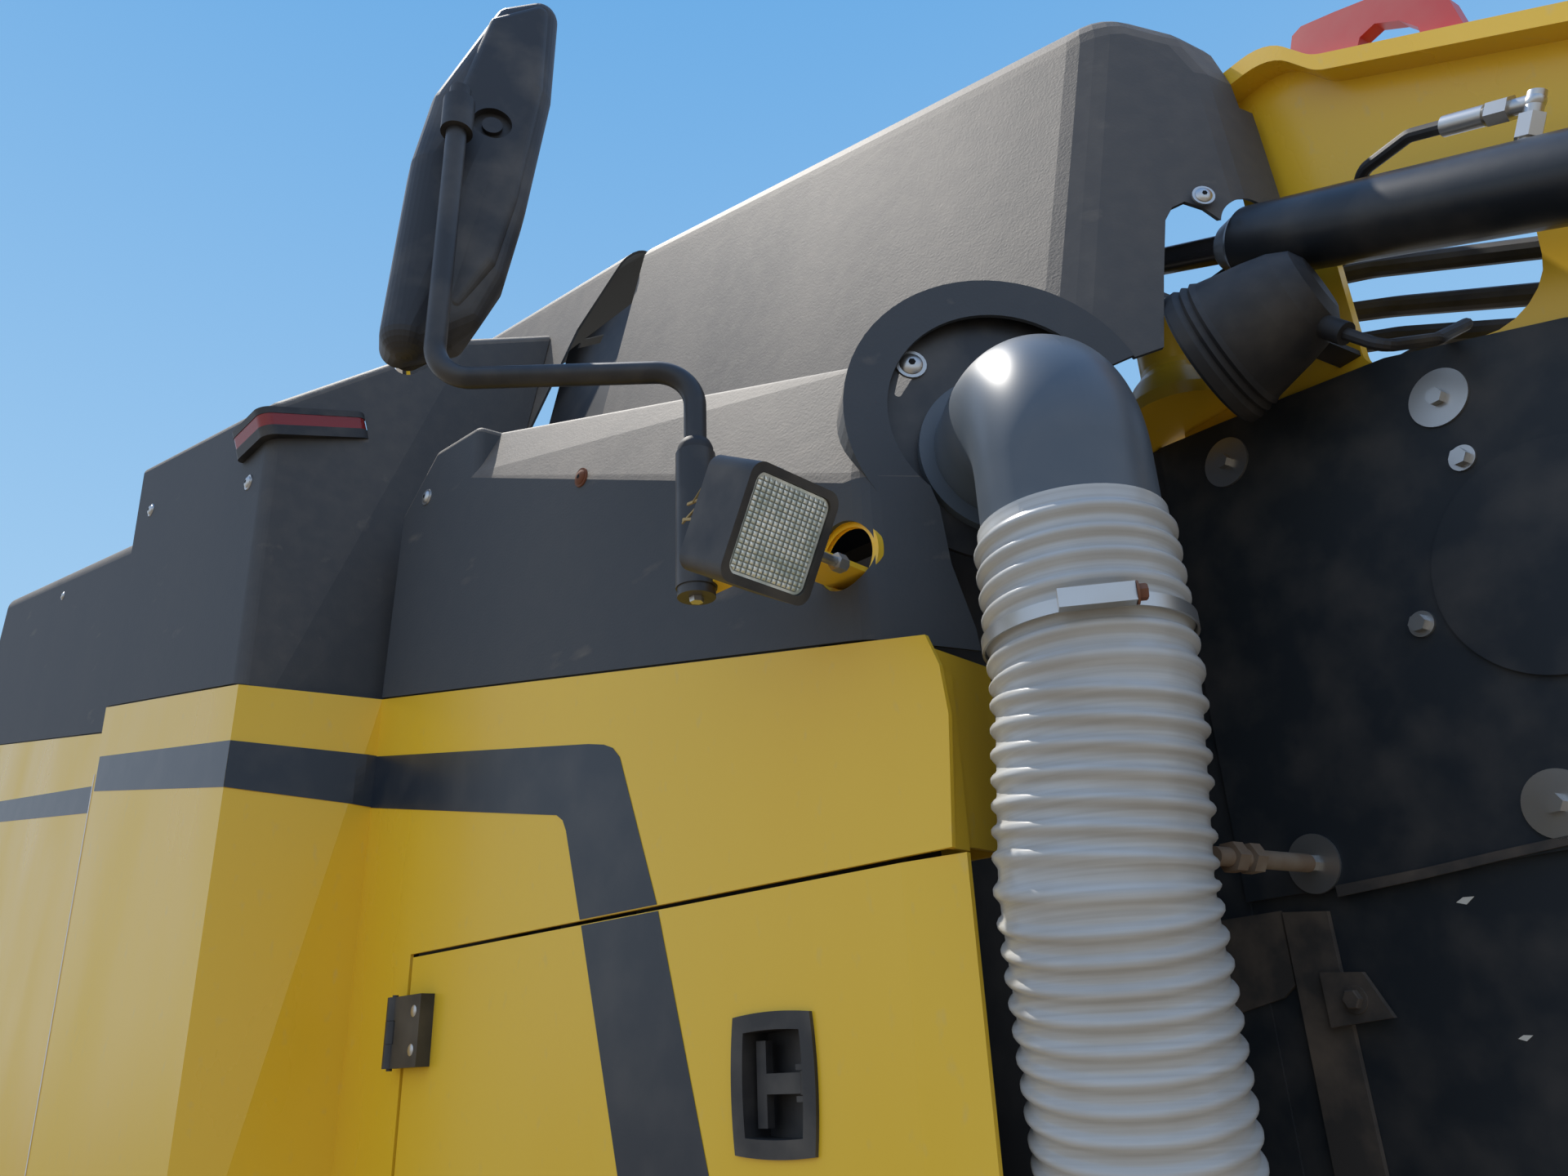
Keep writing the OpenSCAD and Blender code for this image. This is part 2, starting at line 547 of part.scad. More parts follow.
// Duct: backing plate in the arch, flange, elbow and hose
elbow_reach = 139;
elbow_r = 105;
plate_y = 17;
duct_axis = [ring_at[0] + elbow_reach * cos(ring_deg), ring_at[1] - elbow_reach * sin(ring_deg)];
hose_top_z = 441;
elbow_drop = 46;
hose_lap = 140;
module in_duct() in_ring() translate([0, 0, -elbow_drop]) children();
module duct_plate() color(black) difference() {
    duct_plate_blank();
    in_duct() translate([0, plate_y - 1, 0]) rotate([-90, 0, 0]) cylinder(d = duct_d - 10, h = 7);
}
module duct_plate_blank() in_ring() difference() {
    translate([0, plate_y, 0]) rotate([-90, 0, 0]) cylinder(r = ring_out_r - skin_t - seat, h = 5, $fn = 64);
    block([112, 0, -200], [300, 60, 200]);
    translate([slot_at[0], plate_y + 6, slot_at[1]]) rotate([90, 0, 0]) linear_extrude(7) rotate(slot_deg) keyhole();
}
// Keyhole slot of the plate's fixing bolt
slot_at = [-97, 64];
slot_deg = -114;
module keyhole() union() {
    circle(d = 20);
    polygon([[0, -9], [34, -4], [34, 4], [0, 9]]);
    translate([34, 0]) circle(d = 8);
}
module elbow_core(r, start, end_z) {
    straight = elbow_reach - elbow_r;
    translate([0, -straight, 0]) rotate([-90, 0, 0]) cylinder(r = r, h = straight + start);
    translate([0, -straight, -elbow_r]) rotate([90, 0, -90]) rotate_extrude(angle = 90)
        translate([elbow_r, 0]) circle(r);
    translate([0, -elbow_reach, end_z]) cylinder(r = r, h = -elbow_r - end_z);
}
elbow_end_z = hose_top_z - hose_lap - ring_at[2] + elbow_drop;
module duct_elbow() color("slategray") in_duct() difference() {
    union() {
        elbow_core(duct_d / 2, plate_y, elbow_end_z);
        translate([0, 6, 0]) rotate([-90, 0, 0]) cylinder(d = duct_d + 32, h = plate_y - 6);
    }
    elbow_core(duct_d / 2 - 5, plate_y + 1, elbow_end_z - 1);
}

// Suction hose: a ridged tube from the elbow down to the lower duct
lower_duct_at = [-535, 140];
lower_duct_top = -330;
hose_end_z = -385;
hose_path = route([[duct_axis[0], duct_axis[1], hose_top_z], [duct_axis[0], duct_axis[1], 290],
    [-478, 44, 130], [-503, 92, -60], [lower_duct_at[0], lower_duct_at[1], -240],
    [lower_duct_at[0], lower_duct_at[1], hose_end_z]], 160, 5);
function length_to(p, i) = i == 0 ? 0 : norm(p[i] - p[i - 1]) + length_to(p, i - 1);
function along(p, s, i = 0) = let (step = norm(p[i + 1] - p[i]))
    (s <= step || i == len(p) - 2) ? p[i] + (p[i + 1] - p[i]) * min(s / step, 1) : along(p, s - step, i + 1);
hose_len = length_to(hose_path, len(hose_path) - 1);
hose_r = duct_d / 2 + 4;
ridge_count = floor((hose_len - 20) / ridge_pitch);
// Columns: share of the pitch and share of the ridge's height
ridge_shape = [[0, 0], [0.38, 1], [0.72, 0]];
ridge_marks = concat([[0, 0]], [for (i = [0 : ridge_count - 1], q = ridge_shape)
    [12 + (i + q[0]) * ridge_pitch, q[1]]], [[hose_len, 0]]);
module suction_hose() color("gainsboro") difference() {
    swept([for (m = ridge_marks) along(hose_path, m[0])], [for (m = ridge_marks) hose_r + m[1] * ridge_h],
        [1, 0, 0], 20);
    swept(concat([hose_path[0] + [0, 0, 1]], [for (i = [1 : len(hose_path) - 2]) hose_path[i]],
        [hose_path[len(hose_path) - 1] - [0, 0, 1]]),
        [for (q = hose_path) (duct_d / 2 + 0.4) / cos(9)], [1, 0, 0], 20);
}
module lower_duct() color(black) translate([lower_duct_at[0], lower_duct_at[1], duct_shelf_z + duct_shelf_t])
    difference() {
        union() {
            cylinder(d = duct_d, h = lower_duct_top - duct_shelf_z - duct_shelf_t);
            cylinder(d = duct_d + 30, h = 12);
        }
        translate([0, 0, -1]) cylinder(d = duct_d - 10, h = 200);
    }

// Worm clamp around the hose below the elbow
clamp_z = 335;
module hose_clamp() color(steel) translate([duct_axis[0], duct_axis[1], clamp_z]) {
    difference() {
        cylinder(r = hose_r + ridge_h + 2, h = 12, center = true, $fn = 64);
        cylinder(r = hose_r + ridge_h, h = 14, center = true, $fn = 64);
    }
    rotate([0, 0, -55]) translate([hose_r + ridge_h + 1, -30, -8]) cube([12, 60, 16]);
}

// Bracket through the side cover: carries the mirror's socket and the lamp's yoke
socket_at = [-810, -99];
socket_z = [462, 620];
bar_z = 464;
lamp_at = [-651, -161, 449];
yoke_y = lamp_at[1] + lamp_w / 2 + 6.2;
yoke_t = 5;
module lamp_bracket() color(yellow) difference() {
    union() {
        block([-722, yoke_y + yoke_t, bar_z], [-672, front_post_y, bar_z + 6]);
        block([-722, yoke_y + yoke_t, 440], [-672, yoke_y + yoke_t + 8, 478]);
        block([socket_at[0], yoke_y + yoke_t, bar_z], [-672, yoke_y + yoke_t + 24, bar_z + 6]);
    }
    translate([socket_at[0], socket_at[1], bar_z - 1]) cylinder(d = socket_d + 2 * seat, h = 20);
}
socket_d = 43;
module mirror_socket() color(black) difference() {
    union() {
        translate([socket_at[0], socket_at[1], socket_z[0]]) cylinder(d = socket_d, h = socket_z[1] - socket_z[0]);
        translate([socket_at[0], socket_at[1], socket_z[0] - 10]) cylinder(d = 40, h = 10);
    }
    translate([socket_at[0], socket_at[1], socket_z[0] + 20]) cylinder(d = arm_d + 2 * arm_play, h = 300);
}

// Mirror: bent tube, clamp, housing and glass
arm_corner = [-1015, -308, 727];
arm_top_z = 1156;
arm_bend_r = 45;
arm_run = norm([arm_corner[0] - socket_at[0], arm_corner[1] - socket_at[1]]);
arm_heading = atan2(arm_corner[1] - socket_at[1], arm_corner[0] - socket_at[0]);
module arm_bend(start) rotate([90, 0, 0]) rotate_extrude(angle = start) translate([arm_bend_r, 0]) circle(d = arm_d);
module mirror_arm() color(black) translate([socket_at[0], socket_at[1], 0]) rotate([0, 0, arm_heading]) {
    foot_z = socket_z[0] + 20 + seat;
    translate([0, 0, foot_z]) cylinder(d = arm_d, h = arm_corner[2] - arm_bend_r - foot_z);
    translate([arm_bend_r, 0, arm_corner[2] - arm_bend_r]) rotate([0, -90, 0]) arm_bend(90);
    translate([arm_bend_r, 0, arm_corner[2]]) rotate([0, 90, 0]) cylinder(d = arm_d, h = arm_run - 2 * arm_bend_r);
    translate([arm_run - arm_bend_r, 0, arm_corner[2] + arm_bend_r]) rotate([0, 90, 0]) arm_bend(90);
    translate([arm_run, 0, arm_corner[2] + arm_bend_r]) cylinder(d = arm_d, h = arm_top_z - arm_corner[2] - arm_bend_r);
}
module in_mirror() translate([-1030, -285, 0]) rotate([0, 0, 60]) children();
// Columns: x, y, z and radius of each rounded corner
mirror_balls = [
    [-50, 30, 817, 30], [-18, 45, 840, 28], [-40, 34, 1075, 28], [-24, 42, 1190, 28], [42, 42, 1360, 25],
    [79, 38, 1374, 25], [76, 40, 1230, 25], [52, 45, 1040, 25], [33, 45, 930, 25], [10, 45, 868, 25],
    [-60, 60, 818, 22], [-4, 72, 846, 20], [-52, 66, 1075, 22], [-34, 70, 1190, 22], [48, 70, 1362, 20],
    [80, 70, 1368, 22], [76, 70, 1230, 22], [52, 70, 1040, 22], [33, 70, 932, 22]];
// Raised panel on its back, with the dish of the ball joint; same columns
panel_balls = [
    [78, 23, 1366, 14], [76, 23, 1230, 14], [52, 25, 1040, 14], [32, 25, 936, 14], [-2, 25, 867, 14],
    [-18, 23, 980, 14], [-5, 22, 1200, 14], [26, 23, 1332, 14]];
dish_at = [28, 1147];
clamp_z_mirror = 1114;
mirror_pad_y = 5;
module mirror_housing() color(grey) in_mirror() difference() {
    union() {
        rounded_solid(mirror_balls, 0);
        rounded_solid(panel_balls, 0);
        block([-24, mirror_pad_y, clamp_z_mirror - 30], [-2, 50, clamp_z_mirror + 30]);
    }
    translate([dish_at[0], 0, dish_at[1]]) rotate([-90, 0, 0]) difference() {
        cylinder(r = 25, h = 18);
        translate([0, 0, 12]) cylinder(r = 13, h = 10);
    }
    block([-200, 84, 600], [200, 200, 1500]);
    hull() for (b = mirror_balls) translate([b[0], 84, b[2]]) rotate([90, 0, 0]) cylinder(r = b[3] - 12, h = 8, $fn = 24);
}
module mirror_glass() color("lightblue") in_mirror()
    hull() for (b = mirror_balls) translate([b[0], 84, b[2]]) rotate([90, 0, 0]) cylinder(r = b[3] - 12.5, h = 8, $fn = 24);
module mirror_clamp() color(black) difference() {
    union() {
        translate([arm_corner[0], arm_corner[1], clamp_z_mirror - 25]) cylinder(d = arm_d + 14, h = 50);
        in_mirror() block([-22, -20, clamp_z_mirror - 22], [-4, mirror_pad_y, clamp_z_mirror + 22]);
    }
    translate([arm_corner[0], arm_corner[1], 1000]) cylinder(d = arm_d + 2 * arm_play, h = 400);
}

// Work lamp: square finned housing, lens and side yoke
lamp_depth = 62;
module in_lamp() translate(lamp_at) rotate([0, lamp_tilt, 0]) children();
module rounded_square(w, r) offset(r) square(w - 2 * r, center = true);
module lamp_housing() color(black) in_lamp() difference() {
    union() {
        translate([-lamp_depth / 2, 0, 0]) rotate([0, 90, 0]) linear_extrude(lamp_depth) rounded_square(lamp_w, 14);
        for (i = [-3 : 3]) translate([-lamp_depth / 2 - 16, -42, i * 13 - 2]) cube([18, 84, 4]);
        translate([-10, lamp_w / 2 - 2, 0]) rotate([-90, 0, 0]) cylinder(d = 26, h = 8);
        translate([-10, lamp_w / 2 - 2, 0]) rotate([-90, 0, 0]) cylinder(d = 10 - 2 * pin_play, h = 17);
    }
    translate([lamp_depth / 2 - 12, 0, 0]) rotate([0, 90, 0]) linear_extrude(20) rounded_square(lamp_w - 16, 10);
}
module lamp_lens() color("whitesmoke") in_lamp()
    translate([lamp_depth / 2 - 12, 0, 0]) rotate([0, 90, 0]) linear_extrude(9) rounded_square(lamp_w - 17, 10);
module lamp_yoke() color(steel) {
    y0 = yoke_y;
    pivot = lamp_at - [10 * cos(lamp_tilt), 0, -10 * sin(lamp_tilt)];
    difference() {
        union() {
            block([pivot[0] - 16, y0, pivot[2] - 25], [pivot[0] + 16, y0 + yoke_t, pivot[2] + 30]);
            block([-722, y0, 442], [pivot[0] + 16, y0 + yoke_t, 474]);
        }
        translate([pivot[0], y0 - 1, pivot[2]]) rotate([-90, 0, 0]) cylinder(d = 10, h = 8);
    }
}

// Yellow frame plate behind the front edge, with two bolt holes
module front_frame_plate() color(yellow) difference() {
    union() {
        block([front_x - 16, skin_post_y, 180], [front_x - 10, front_post_y + post_w, 362]);
        block([front_face_x + bulkhead_t, front_post_y + post_w - 6, 180],
            [front_x - 10, front_post_y + post_w, 362]);
    }
    for (z = [194, 279]) translate([front_x - 20, 24, z]) rotate([0, 90, 0]) cylinder(d = 16, h = 20);
}

// Axis of the slewing cylinder, seen along the cheek, and its two eyes
barrel_out = 75;
barrel_slope = 27.2;
barrel_x = [-355, 130];
barrel_z0 = 920.5;
function barrel_z(x) = barrel_z0 - tan(barrel_slope) * (x - barrel_x[0]);
rod_eye_x = -565;
rod_eye_z = barrel_z(rod_eye_x);
rod_bracket_z = round(rod_eye_z) - 56;
barrel_eye_x = 165;
barrel_eye_z = barrel_z(barrel_eye_x);

// Carrier cheek: side plate with its rim and opening; outlines are x along the cheek and z
function rim_z(x) = 970 + (4 - x) * 0.703;
rim_path = route([[200, rim_z(200)], [-240, rim_z(-240)], [-290, 1218], [-385, 1228]], 80);
cheek_outline = concat([[-560, 200], [200, 200]], rim_path, [[-396, 1190],
    [-396, rod_bracket_z - seat], [-560, rod_bracket_z - seat]]);
// Columns: x, z and radius of each corner of the opening
opening_table = [[-84, 882, 18], [-104, 668, 60], [-300, 728, 25], [-300, 990, 20]];
function rounded_loop(t) = let (n = len(t)) [for (i = [0 : n - 1])
    let (a = t[(i + n - 1) % n], b = t[i], c = t[(i + 1) % n])
    each corner_arc([a[0], a[1]], [b[0], b[1]], [c[0], c[1]], b[2], 6)];
rim_t = 26;
rim_out = 38;
rim_band = concat(rim_path, [for (i = [len(rim_path) - 1 : -1 : 0]) rim_path[i] - [0, rim_t]]);
// Boss of the carrier's pivot; columns: radius and height of its turned outline
boss_at = [-540, -25];
boss_outline = [[0, 778], [80, 778], [76, 798], [58, 832], [45, 848], [42, 858], [42, 948], [36, 956], [0, 956]];
module cheek_wall(y, t, outline) in_cheek() side_wall(y, t, outline);
module carrier_cheek() color(yellow) {
    difference() {
        cheek_wall(0, cheek_t, cheek_outline);
        cheek_wall(-1, cheek_t + 2, rounded_loop(opening_table));
    }
    cheek_wall(-rim_out, rim_out + 1, rim_band);
    in_cheek() {
        block([barrel_eye_x - 30, -barrel_out - 30, barrel_eye_z - 42], [barrel_eye_x + 25, 1, barrel_eye_z - 26]);
        difference() {
            translate([boss_at[0], boss_at[1], 0]) rotate_extrude() polygon(boss_outline);
            block([-700, cheek_t - 2, 700], [-400, 100, 1000]);
        }
    }
}

// Red lifting eye on the rim
module lifting_eye() color("crimson") in_cheek() difference() {
    side_wall(-24, 20, concat([[-80, rim_z(-80) + seat]],
        [for (p = rim_path) if (p[0] > -276 && p[0] < 0) p + [0, seat]],
        [[-262, 1205], [-248, 1208], [-205, 1188], [-158, 1164], [-118, 1126], [-86, 1083]]));
    side_wall(-40, 60, [[-194, rim_z(-194) + 2], [-124, rim_z(-124) + 2], [-124, 1078], [-140, 1105], [-166, 1127],
        [-186, 1125]]);
}

// Slewing cylinder, lying along the cheek
// Local x runs down the barrel from its rod end
module in_barrel() in_cheek() translate([barrel_x[0], -barrel_out, barrel_z0]) rotate([0, barrel_slope, 0]) children();
function down_barrel(x) = (x - barrel_x[0]) / cos(barrel_slope);
gland_l = 38;
// Columns: radius and place of the gland's turned outline, as shares of the barrel's radius and of its length
gland_outline = [for (q = [[0.5, -1], [0.66, -0.8], [0.8, -0.45], [0.92, -0.15], [1, 0]])
    [q[0] * barrel_d / 2, q[1] * gland_l]];
module cylinder_barrel() color("#2c3e50") difference() {
    union() {
        in_barrel() rotate([0, 90, 0]) cylinder(d = barrel_d, h = down_barrel(barrel_x[1]));
        in_barrel() rotate([0, 90, 0]) rotate_extrude() polygon(concat([[0, -gland_l]], gland_outline, [[0, 1]]));
        in_barrel() rotate([0, 90, 0]) cylinder(d = 40, h = down_barrel(barrel_eye_x));
        in_cheek() translate([barrel_eye_x, -barrel_out, barrel_eye_z - 26]) cylinder(d = 60, h = 52);
    }
    in_barrel() translate([12, 0, 0]) rotate([0, 90, 0]) cylinder(d = barrel_d - 16, h = down_barrel(barrel_x[1]) - 40);
    in_barrel() translate([-gland_l - 1, 0, 0]) rotate([0, 90, 0]) cylinder(d = rod_d + 0.1, h = gland_l + 20);
}
module cylinder_rod() color(black) {
    in_barrel() translate([down_barrel(rod_eye_x), 0, 0]) rotate([0, 90, 0])
        cylinder(d = rod_d, h = -down_barrel(rod_eye_x) + 200);
    in_cheek() translate([rod_eye_x, -barrel_out, rod_bracket_z + 15])
        cylinder(d = 50, h = rod_eye_z + 7 - rod_bracket_z);
}

// Port fitting and hose on the barrel
port_x = -70;
riser_l = 96;
arm_l = 92;
module cylinder_fitting() color(steel) in_cheek() translate([port_x, -barrel_out, barrel_z(port_x)])
    rotate([0, barrel_slope, 0]) difference() {
        union() {
            cylinder(d = 18, h = riser_l);
            translate([0, 0, 48]) cylinder(d = 27, h = 24, $fn = 6);
            translate([0, 0, riser_l - 10]) sphere(d = 20);
            translate([0, 0, riser_l - 10]) rotate([0, -90, 0]) cylinder(d = 17, h = arm_l);
            translate([-22, 0, riser_l - 10]) rotate([0, -90, 0]) cylinder(d = 27, h = 22, $fn = 6);
            translate([-48, 0, riser_l - 10]) rotate([0, -90, 0]) cylinder(d = 22, h = arm_l - 48);
        }
        rotate([0, 90, 0]) cylinder(d = barrel_d, h = 80, center = true);
    }
riser = riser_l - 10;
fit_end = [port_x + riser * sin(barrel_slope) - arm_l * cos(barrel_slope), -barrel_out,
    barrel_z(port_x) + riser * cos(barrel_slope) + arm_l * sin(barrel_slope)];
module cylinder_hose() color(black) in_cheek()
    tube(route([fit_end, fit_end + 40 * [-cos(barrel_slope), 0, sin(barrel_slope)], [-212, -55, 926], [-268, -15, 900],
        [-268, 42, 908], [cheek_post_x + rail_w + seat, 42, 908]], 24, 4), 7.5, [0, 0.4, 1], 12);

// Warning horn on a bracket, and its cable
horn_at = [-340, -118, 776];
// Columns: radius and place of its turned outline
horn_outline = [[0, -74], [34, -74], [50, -66], [62, -46], [70, -20], [76, 6], [82, 30], [86, 36], [83, 40], [88, 46],
    [85, 50], [90, 56], [90, 68], [84, 72], [70, 60], [0, 40]];
module warning_horn() color(black) in_cheek() {
    translate(horn_at) rotate([0, -103, 15]) rotate_extrude() polygon(horn_outline);
    block([-330, -110, 745], [-302, 0, 752]);
    bar(gland[0], gland[1], 26);
}
gland = [[-292, -106, 752], [-256, -104, 712]];
// Round bar between two places
module bar(a, b, d) let (v = b - a) translate(a)
    rotate([0, acos(v[2] / norm(v)), atan2(v[1], v[0])]) cylinder(d = d, h = norm(v));
module horn_cable() color(black) in_cheek()
    tube(route([gland[1], gland[1] + 0.9 * (gland[1] - gland[0]), [-200, -40, 690], [-200, 45, 740],
        [cheek_post_x + rail_w + seat, 45, 740]], 14, 4),
        7, [0.3, 0.5, 1], 10);

// Rubber curtains on the cheek, with their washers and tie rod
curtain_top = [[-600, 775], [-500, 760], [-274, 722], [-96, 659], [200, 520]];
patch_at = [-172, 433];
module upper_curtain() color("#1b1d20") {
    cheek_wall(-curtain_t, curtain_t, concat([[200, 160], [-600, 165]], curtain_top));
    in_cheek() translate([patch_at[0], -curtain_t, patch_at[1]]) rotate([90, 0, 0]) cylinder(r = 118, h = 5);
}
module lower_curtain() color("#1b1d20") cheek_wall(0, curtain_t, [[200, bottom_z], [200, 200], [-600, 200], [-600, -200],
    [-520, bottom_z]]);
// Columns: x and z along the cheek, washer diameter
washer_table = [[-230, 643, 65], [-500, 702, 65], [-501, 193, 65], [-236, 204, 65], [-313, 411, 28], [-225, 566, 28],
    [40, 560, 65], [60, 204, 65]];
module curtain_washers() color(steel) in_cheek() for (w = washer_table)
    translate([w[0], -curtain_t, w[1]]) rotate([90, 0, 0]) {
        cylinder(d = w[2], h = 3);
        cylinder(d = 19, h = 12, $fn = 6);
    }
tie_at = [-501, 193];
module tie_rod() color("saddlebrown") in_cheek() translate([tie_at[0], -curtain_t - 12, tie_at[1]]) rotate([90, 0, 0]) {
    cylinder(d = 20, h = 150);
    for (h = [85, 112]) translate([0, 0, h]) cylinder(d = 34, h = 16, $fn = 6);
}

// Hydraulic hoses behind the cheek's opening
module inner_hoses() color(black) in_cheek() for (q = [[905, 60], [850, 75], [800, 62]])
    tube(route([[cheek_post_x + rail_w, 58, q[0] + 30], [-400, 58, q[0] + 30], [-300, q[1] + 30, q[0]],
        [-60, q[1] + 40, q[0] - 132], [150, 90, q[0] - 245]], 60, 4), 13, [0, 0.2, 1], 12);

at_corner() frame_posts();
at_corner() frame_rails();
at_corner() frame_cross_rails();
at_corner() mounting_plate();
at_corner() pillar_shelves();
at_corner() inner_bulkhead();
at_corner() front_bulkhead();
at_corner() duct_shelf();
at_corner() rod_bracket();
at_corner() gap_screen();
at_corner() rear_side_panel();
at_corner() rear_hood_cover();
at_corner() pillar_panel();
at_corner() pillar_cap();
at_corner() marker_lamp_base();
at_corner() marker_lamp_lens();
at_corner() side_panel();
at_corner() service_door();
at_corner() hinge_frame_leaves();
at_corner() hinge_door_leaves();
at_corner() latch_cup();
at_corner() latch_handle();
at_corner() side_cover();
at_corner() front_hood();
at_corner() rear_hood();
at_corner() duct_plate();
at_corner() duct_elbow();
at_corner() suction_hose();
at_corner() hose_clamp();
at_corner() lower_duct();
at_corner() lamp_bracket();
at_corner() lamp_yoke();
at_corner() lamp_housing();
at_corner() lamp_lens();
at_corner() mirror_socket();
at_corner() mirror_arm();
at_corner() mirror_clamp();
at_corner() mirror_housing();
at_corner() mirror_glass();
at_corner() front_frame_plate();
at_corner() carrier_cheek();
at_corner() lifting_eye();
at_corner() cylinder_barrel();
at_corner() cylinder_rod();
at_corner() cylinder_fitting();
at_corner() cylinder_hose();
at_corner() warning_horn();
at_corner() horn_cable();
at_corner() upper_curtain();
at_corner() lower_curtain();
at_corner() curtain_washers();
at_corner() tie_rod();
at_corner() inner_hoses();
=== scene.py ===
"""Front right corner of a road milling machine: materials, small fittings, camera and light.

Places are in millimetres from the bodywork's corner datum: x forwards, y inboard, z up.
"""

import json
import math

import bpy
from mathutils import Matrix, Vector


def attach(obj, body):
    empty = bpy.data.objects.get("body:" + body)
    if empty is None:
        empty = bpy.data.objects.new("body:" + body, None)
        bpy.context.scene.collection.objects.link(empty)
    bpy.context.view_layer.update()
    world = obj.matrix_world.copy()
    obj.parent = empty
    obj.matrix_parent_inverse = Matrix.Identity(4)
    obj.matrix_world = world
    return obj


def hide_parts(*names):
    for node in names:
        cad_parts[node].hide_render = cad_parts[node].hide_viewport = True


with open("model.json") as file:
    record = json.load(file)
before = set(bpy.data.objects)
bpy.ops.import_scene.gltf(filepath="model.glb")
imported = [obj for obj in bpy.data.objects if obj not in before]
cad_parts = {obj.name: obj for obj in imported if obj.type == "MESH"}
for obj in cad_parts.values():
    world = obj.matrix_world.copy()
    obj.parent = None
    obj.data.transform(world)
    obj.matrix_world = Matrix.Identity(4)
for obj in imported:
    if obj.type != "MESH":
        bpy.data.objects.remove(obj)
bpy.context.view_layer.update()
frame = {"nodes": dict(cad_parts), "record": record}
NODES = frame["nodes"]

MM = 0.001
# The corner datum of the bodywork, seen from the mounting plate's centre (the row's origin)
DATUM = Vector((1.4, -0.7, 0.18))


def place(x, y, z):
    """A place in millimetres from the corner datum, as metres in the row frame."""
    return Vector((x, y, z)) * MM + DATUM


# Materials


def new_material(name):
    """A material with its node tree and its Principled shader."""
    mat = bpy.data.materials.new(name)
    mat.use_nodes = True
    tree = mat.node_tree
    return mat, tree, tree.nodes["Principled BSDF"]


def node(tree, kind, **inputs):
    """A shader node with some of its inputs set by name."""
    made = tree.nodes.new(kind)
    for key, value in inputs.items():
        made.inputs[key.replace("_", " ")].default_value = value
    return made


def object_place(tree, stretch=(1, 1, 1)):
    """The object's own coordinates, stretched."""
    coords = tree.nodes.new("ShaderNodeTexCoord")
    mapping = tree.nodes.new("ShaderNodeMapping")
    mapping.inputs["Scale"].default_value = stretch
    tree.links.new(coords.outputs["Object"], mapping.inputs["Vector"])
    return mapping.outputs["Vector"]


def noise(tree, scale, detail=4, stretch=(1, 1, 1)):
    """Noise over the object's own coordinates."""
    made = node(tree, "ShaderNodeTexNoise", Scale=scale, Detail=detail)
    tree.links.new(object_place(tree, stretch), made.inputs["Vector"])
    return made.outputs["Fac"]


def ramp(tree, source, low, high):
    """source rescaled so that low becomes 0 and high becomes 1."""
    made = node(tree, "ShaderNodeMapRange")
    made.inputs["From Min"].default_value = low
    made.inputs["From Max"].default_value = high
    tree.links.new(source, made.inputs["Value"])
    return made.outputs["Result"]


def times(tree, a, b):
    """The product of two values; b may be a number."""
    made = tree.nodes.new("ShaderNodeMath")
    made.operation = "MULTIPLY"
    tree.links.new(a, made.inputs[0])
    if isinstance(b, (int, float)):
        made.inputs[1].default_value = b
    else:
        tree.links.new(b, made.inputs[1])
    return made.outputs["Value"]


def mixed(tree, share, under, over):
    """The colour under, with over laid on it by share."""
    made = tree.nodes.new("ShaderNodeMix")
    made.data_type = "RGBA"
    tree.links.new(share, made.inputs["Factor"])
    for socket, colour in ((made.inputs[6], under), (made.inputs[7], over)):
        if isinstance(colour, (tuple, list)):
            socket.default_value = (*colour, 1)
        else:
            tree.links.new(colour, socket)
    return made.outputs[2]


def upward(tree):
    """How far a face looks up, from 0 for a wall to 1 for a floor."""
    geometry = tree.nodes.new("ShaderNodeNewGeometry")
    split = tree.nodes.new("ShaderNodeSeparateXYZ")
    tree.links.new(geometry.outputs["Normal"], split.inputs["Vector"])
    return split.outputs["Z"]


def bumped(tree, shader, height, distance, strength=1.0):
    """Bumps of that height on the shader."""
    made = node(tree, "ShaderNodeBump", Strength=strength, Distance=distance)
    tree.links.new(height, made.inputs["Height"])
    tree.links.new(made.outputs["Normal"], shader.inputs["Normal"])


def plain(name, colour, roughness, metallic=0.0, dust=0.0, dust_colour=(0.42, 0.36, 0.28)):
    """A plain material, with dust in patches where dust isn't 0."""
    mat, tree, shader = new_material(name)
    shader.inputs["Metallic"].default_value = metallic
    shader.inputs["Roughness"].default_value = roughness
    shader.inputs["Base Color"].default_value = (*colour, 1)
    if dust:
        patches = ramp(tree, noise(tree, 14, 8), 0.42, 0.72)
        share = times(tree, patches, dust)
        tree.links.new(mixed(tree, share, colour, dust_colour), shader.inputs["Base Color"])
    return mat


def yellow_paint():
    """Construction yellow with faint dust and dull streaks."""
    mat, tree, shader = new_material("yellow paint")
    base, worn, dusty = (0.88, 0.54, 0.026), (0.92, 0.62, 0.07), (0.68, 0.52, 0.22)
    wear = ramp(tree, noise(tree, 3, 6, (1, 1, 0.35)), 0.35, 0.75)
    colour = mixed(tree, times(tree, wear, 0.55), base, worn)
    specks = ramp(tree, noise(tree, 60, 8, (1, 1, 0.5)), 0.62, 0.80)
    colour = mixed(tree, times(tree, specks, 0.30), colour, dusty)
    tree.links.new(colour, shader.inputs["Base Color"])
    rough = node(tree, "ShaderNodeMapRange")
    rough.inputs["To Min"].default_value = 0.26
    rough.inputs["To Max"].default_value = 0.46
    tree.links.new(wear, rough.inputs["Value"])
    tree.links.new(rough.outputs["Result"], shader.inputs["Roughness"])
    bumped(tree, shader, noise(tree, 220, 2), 0.0004, 0.12)
    return mat


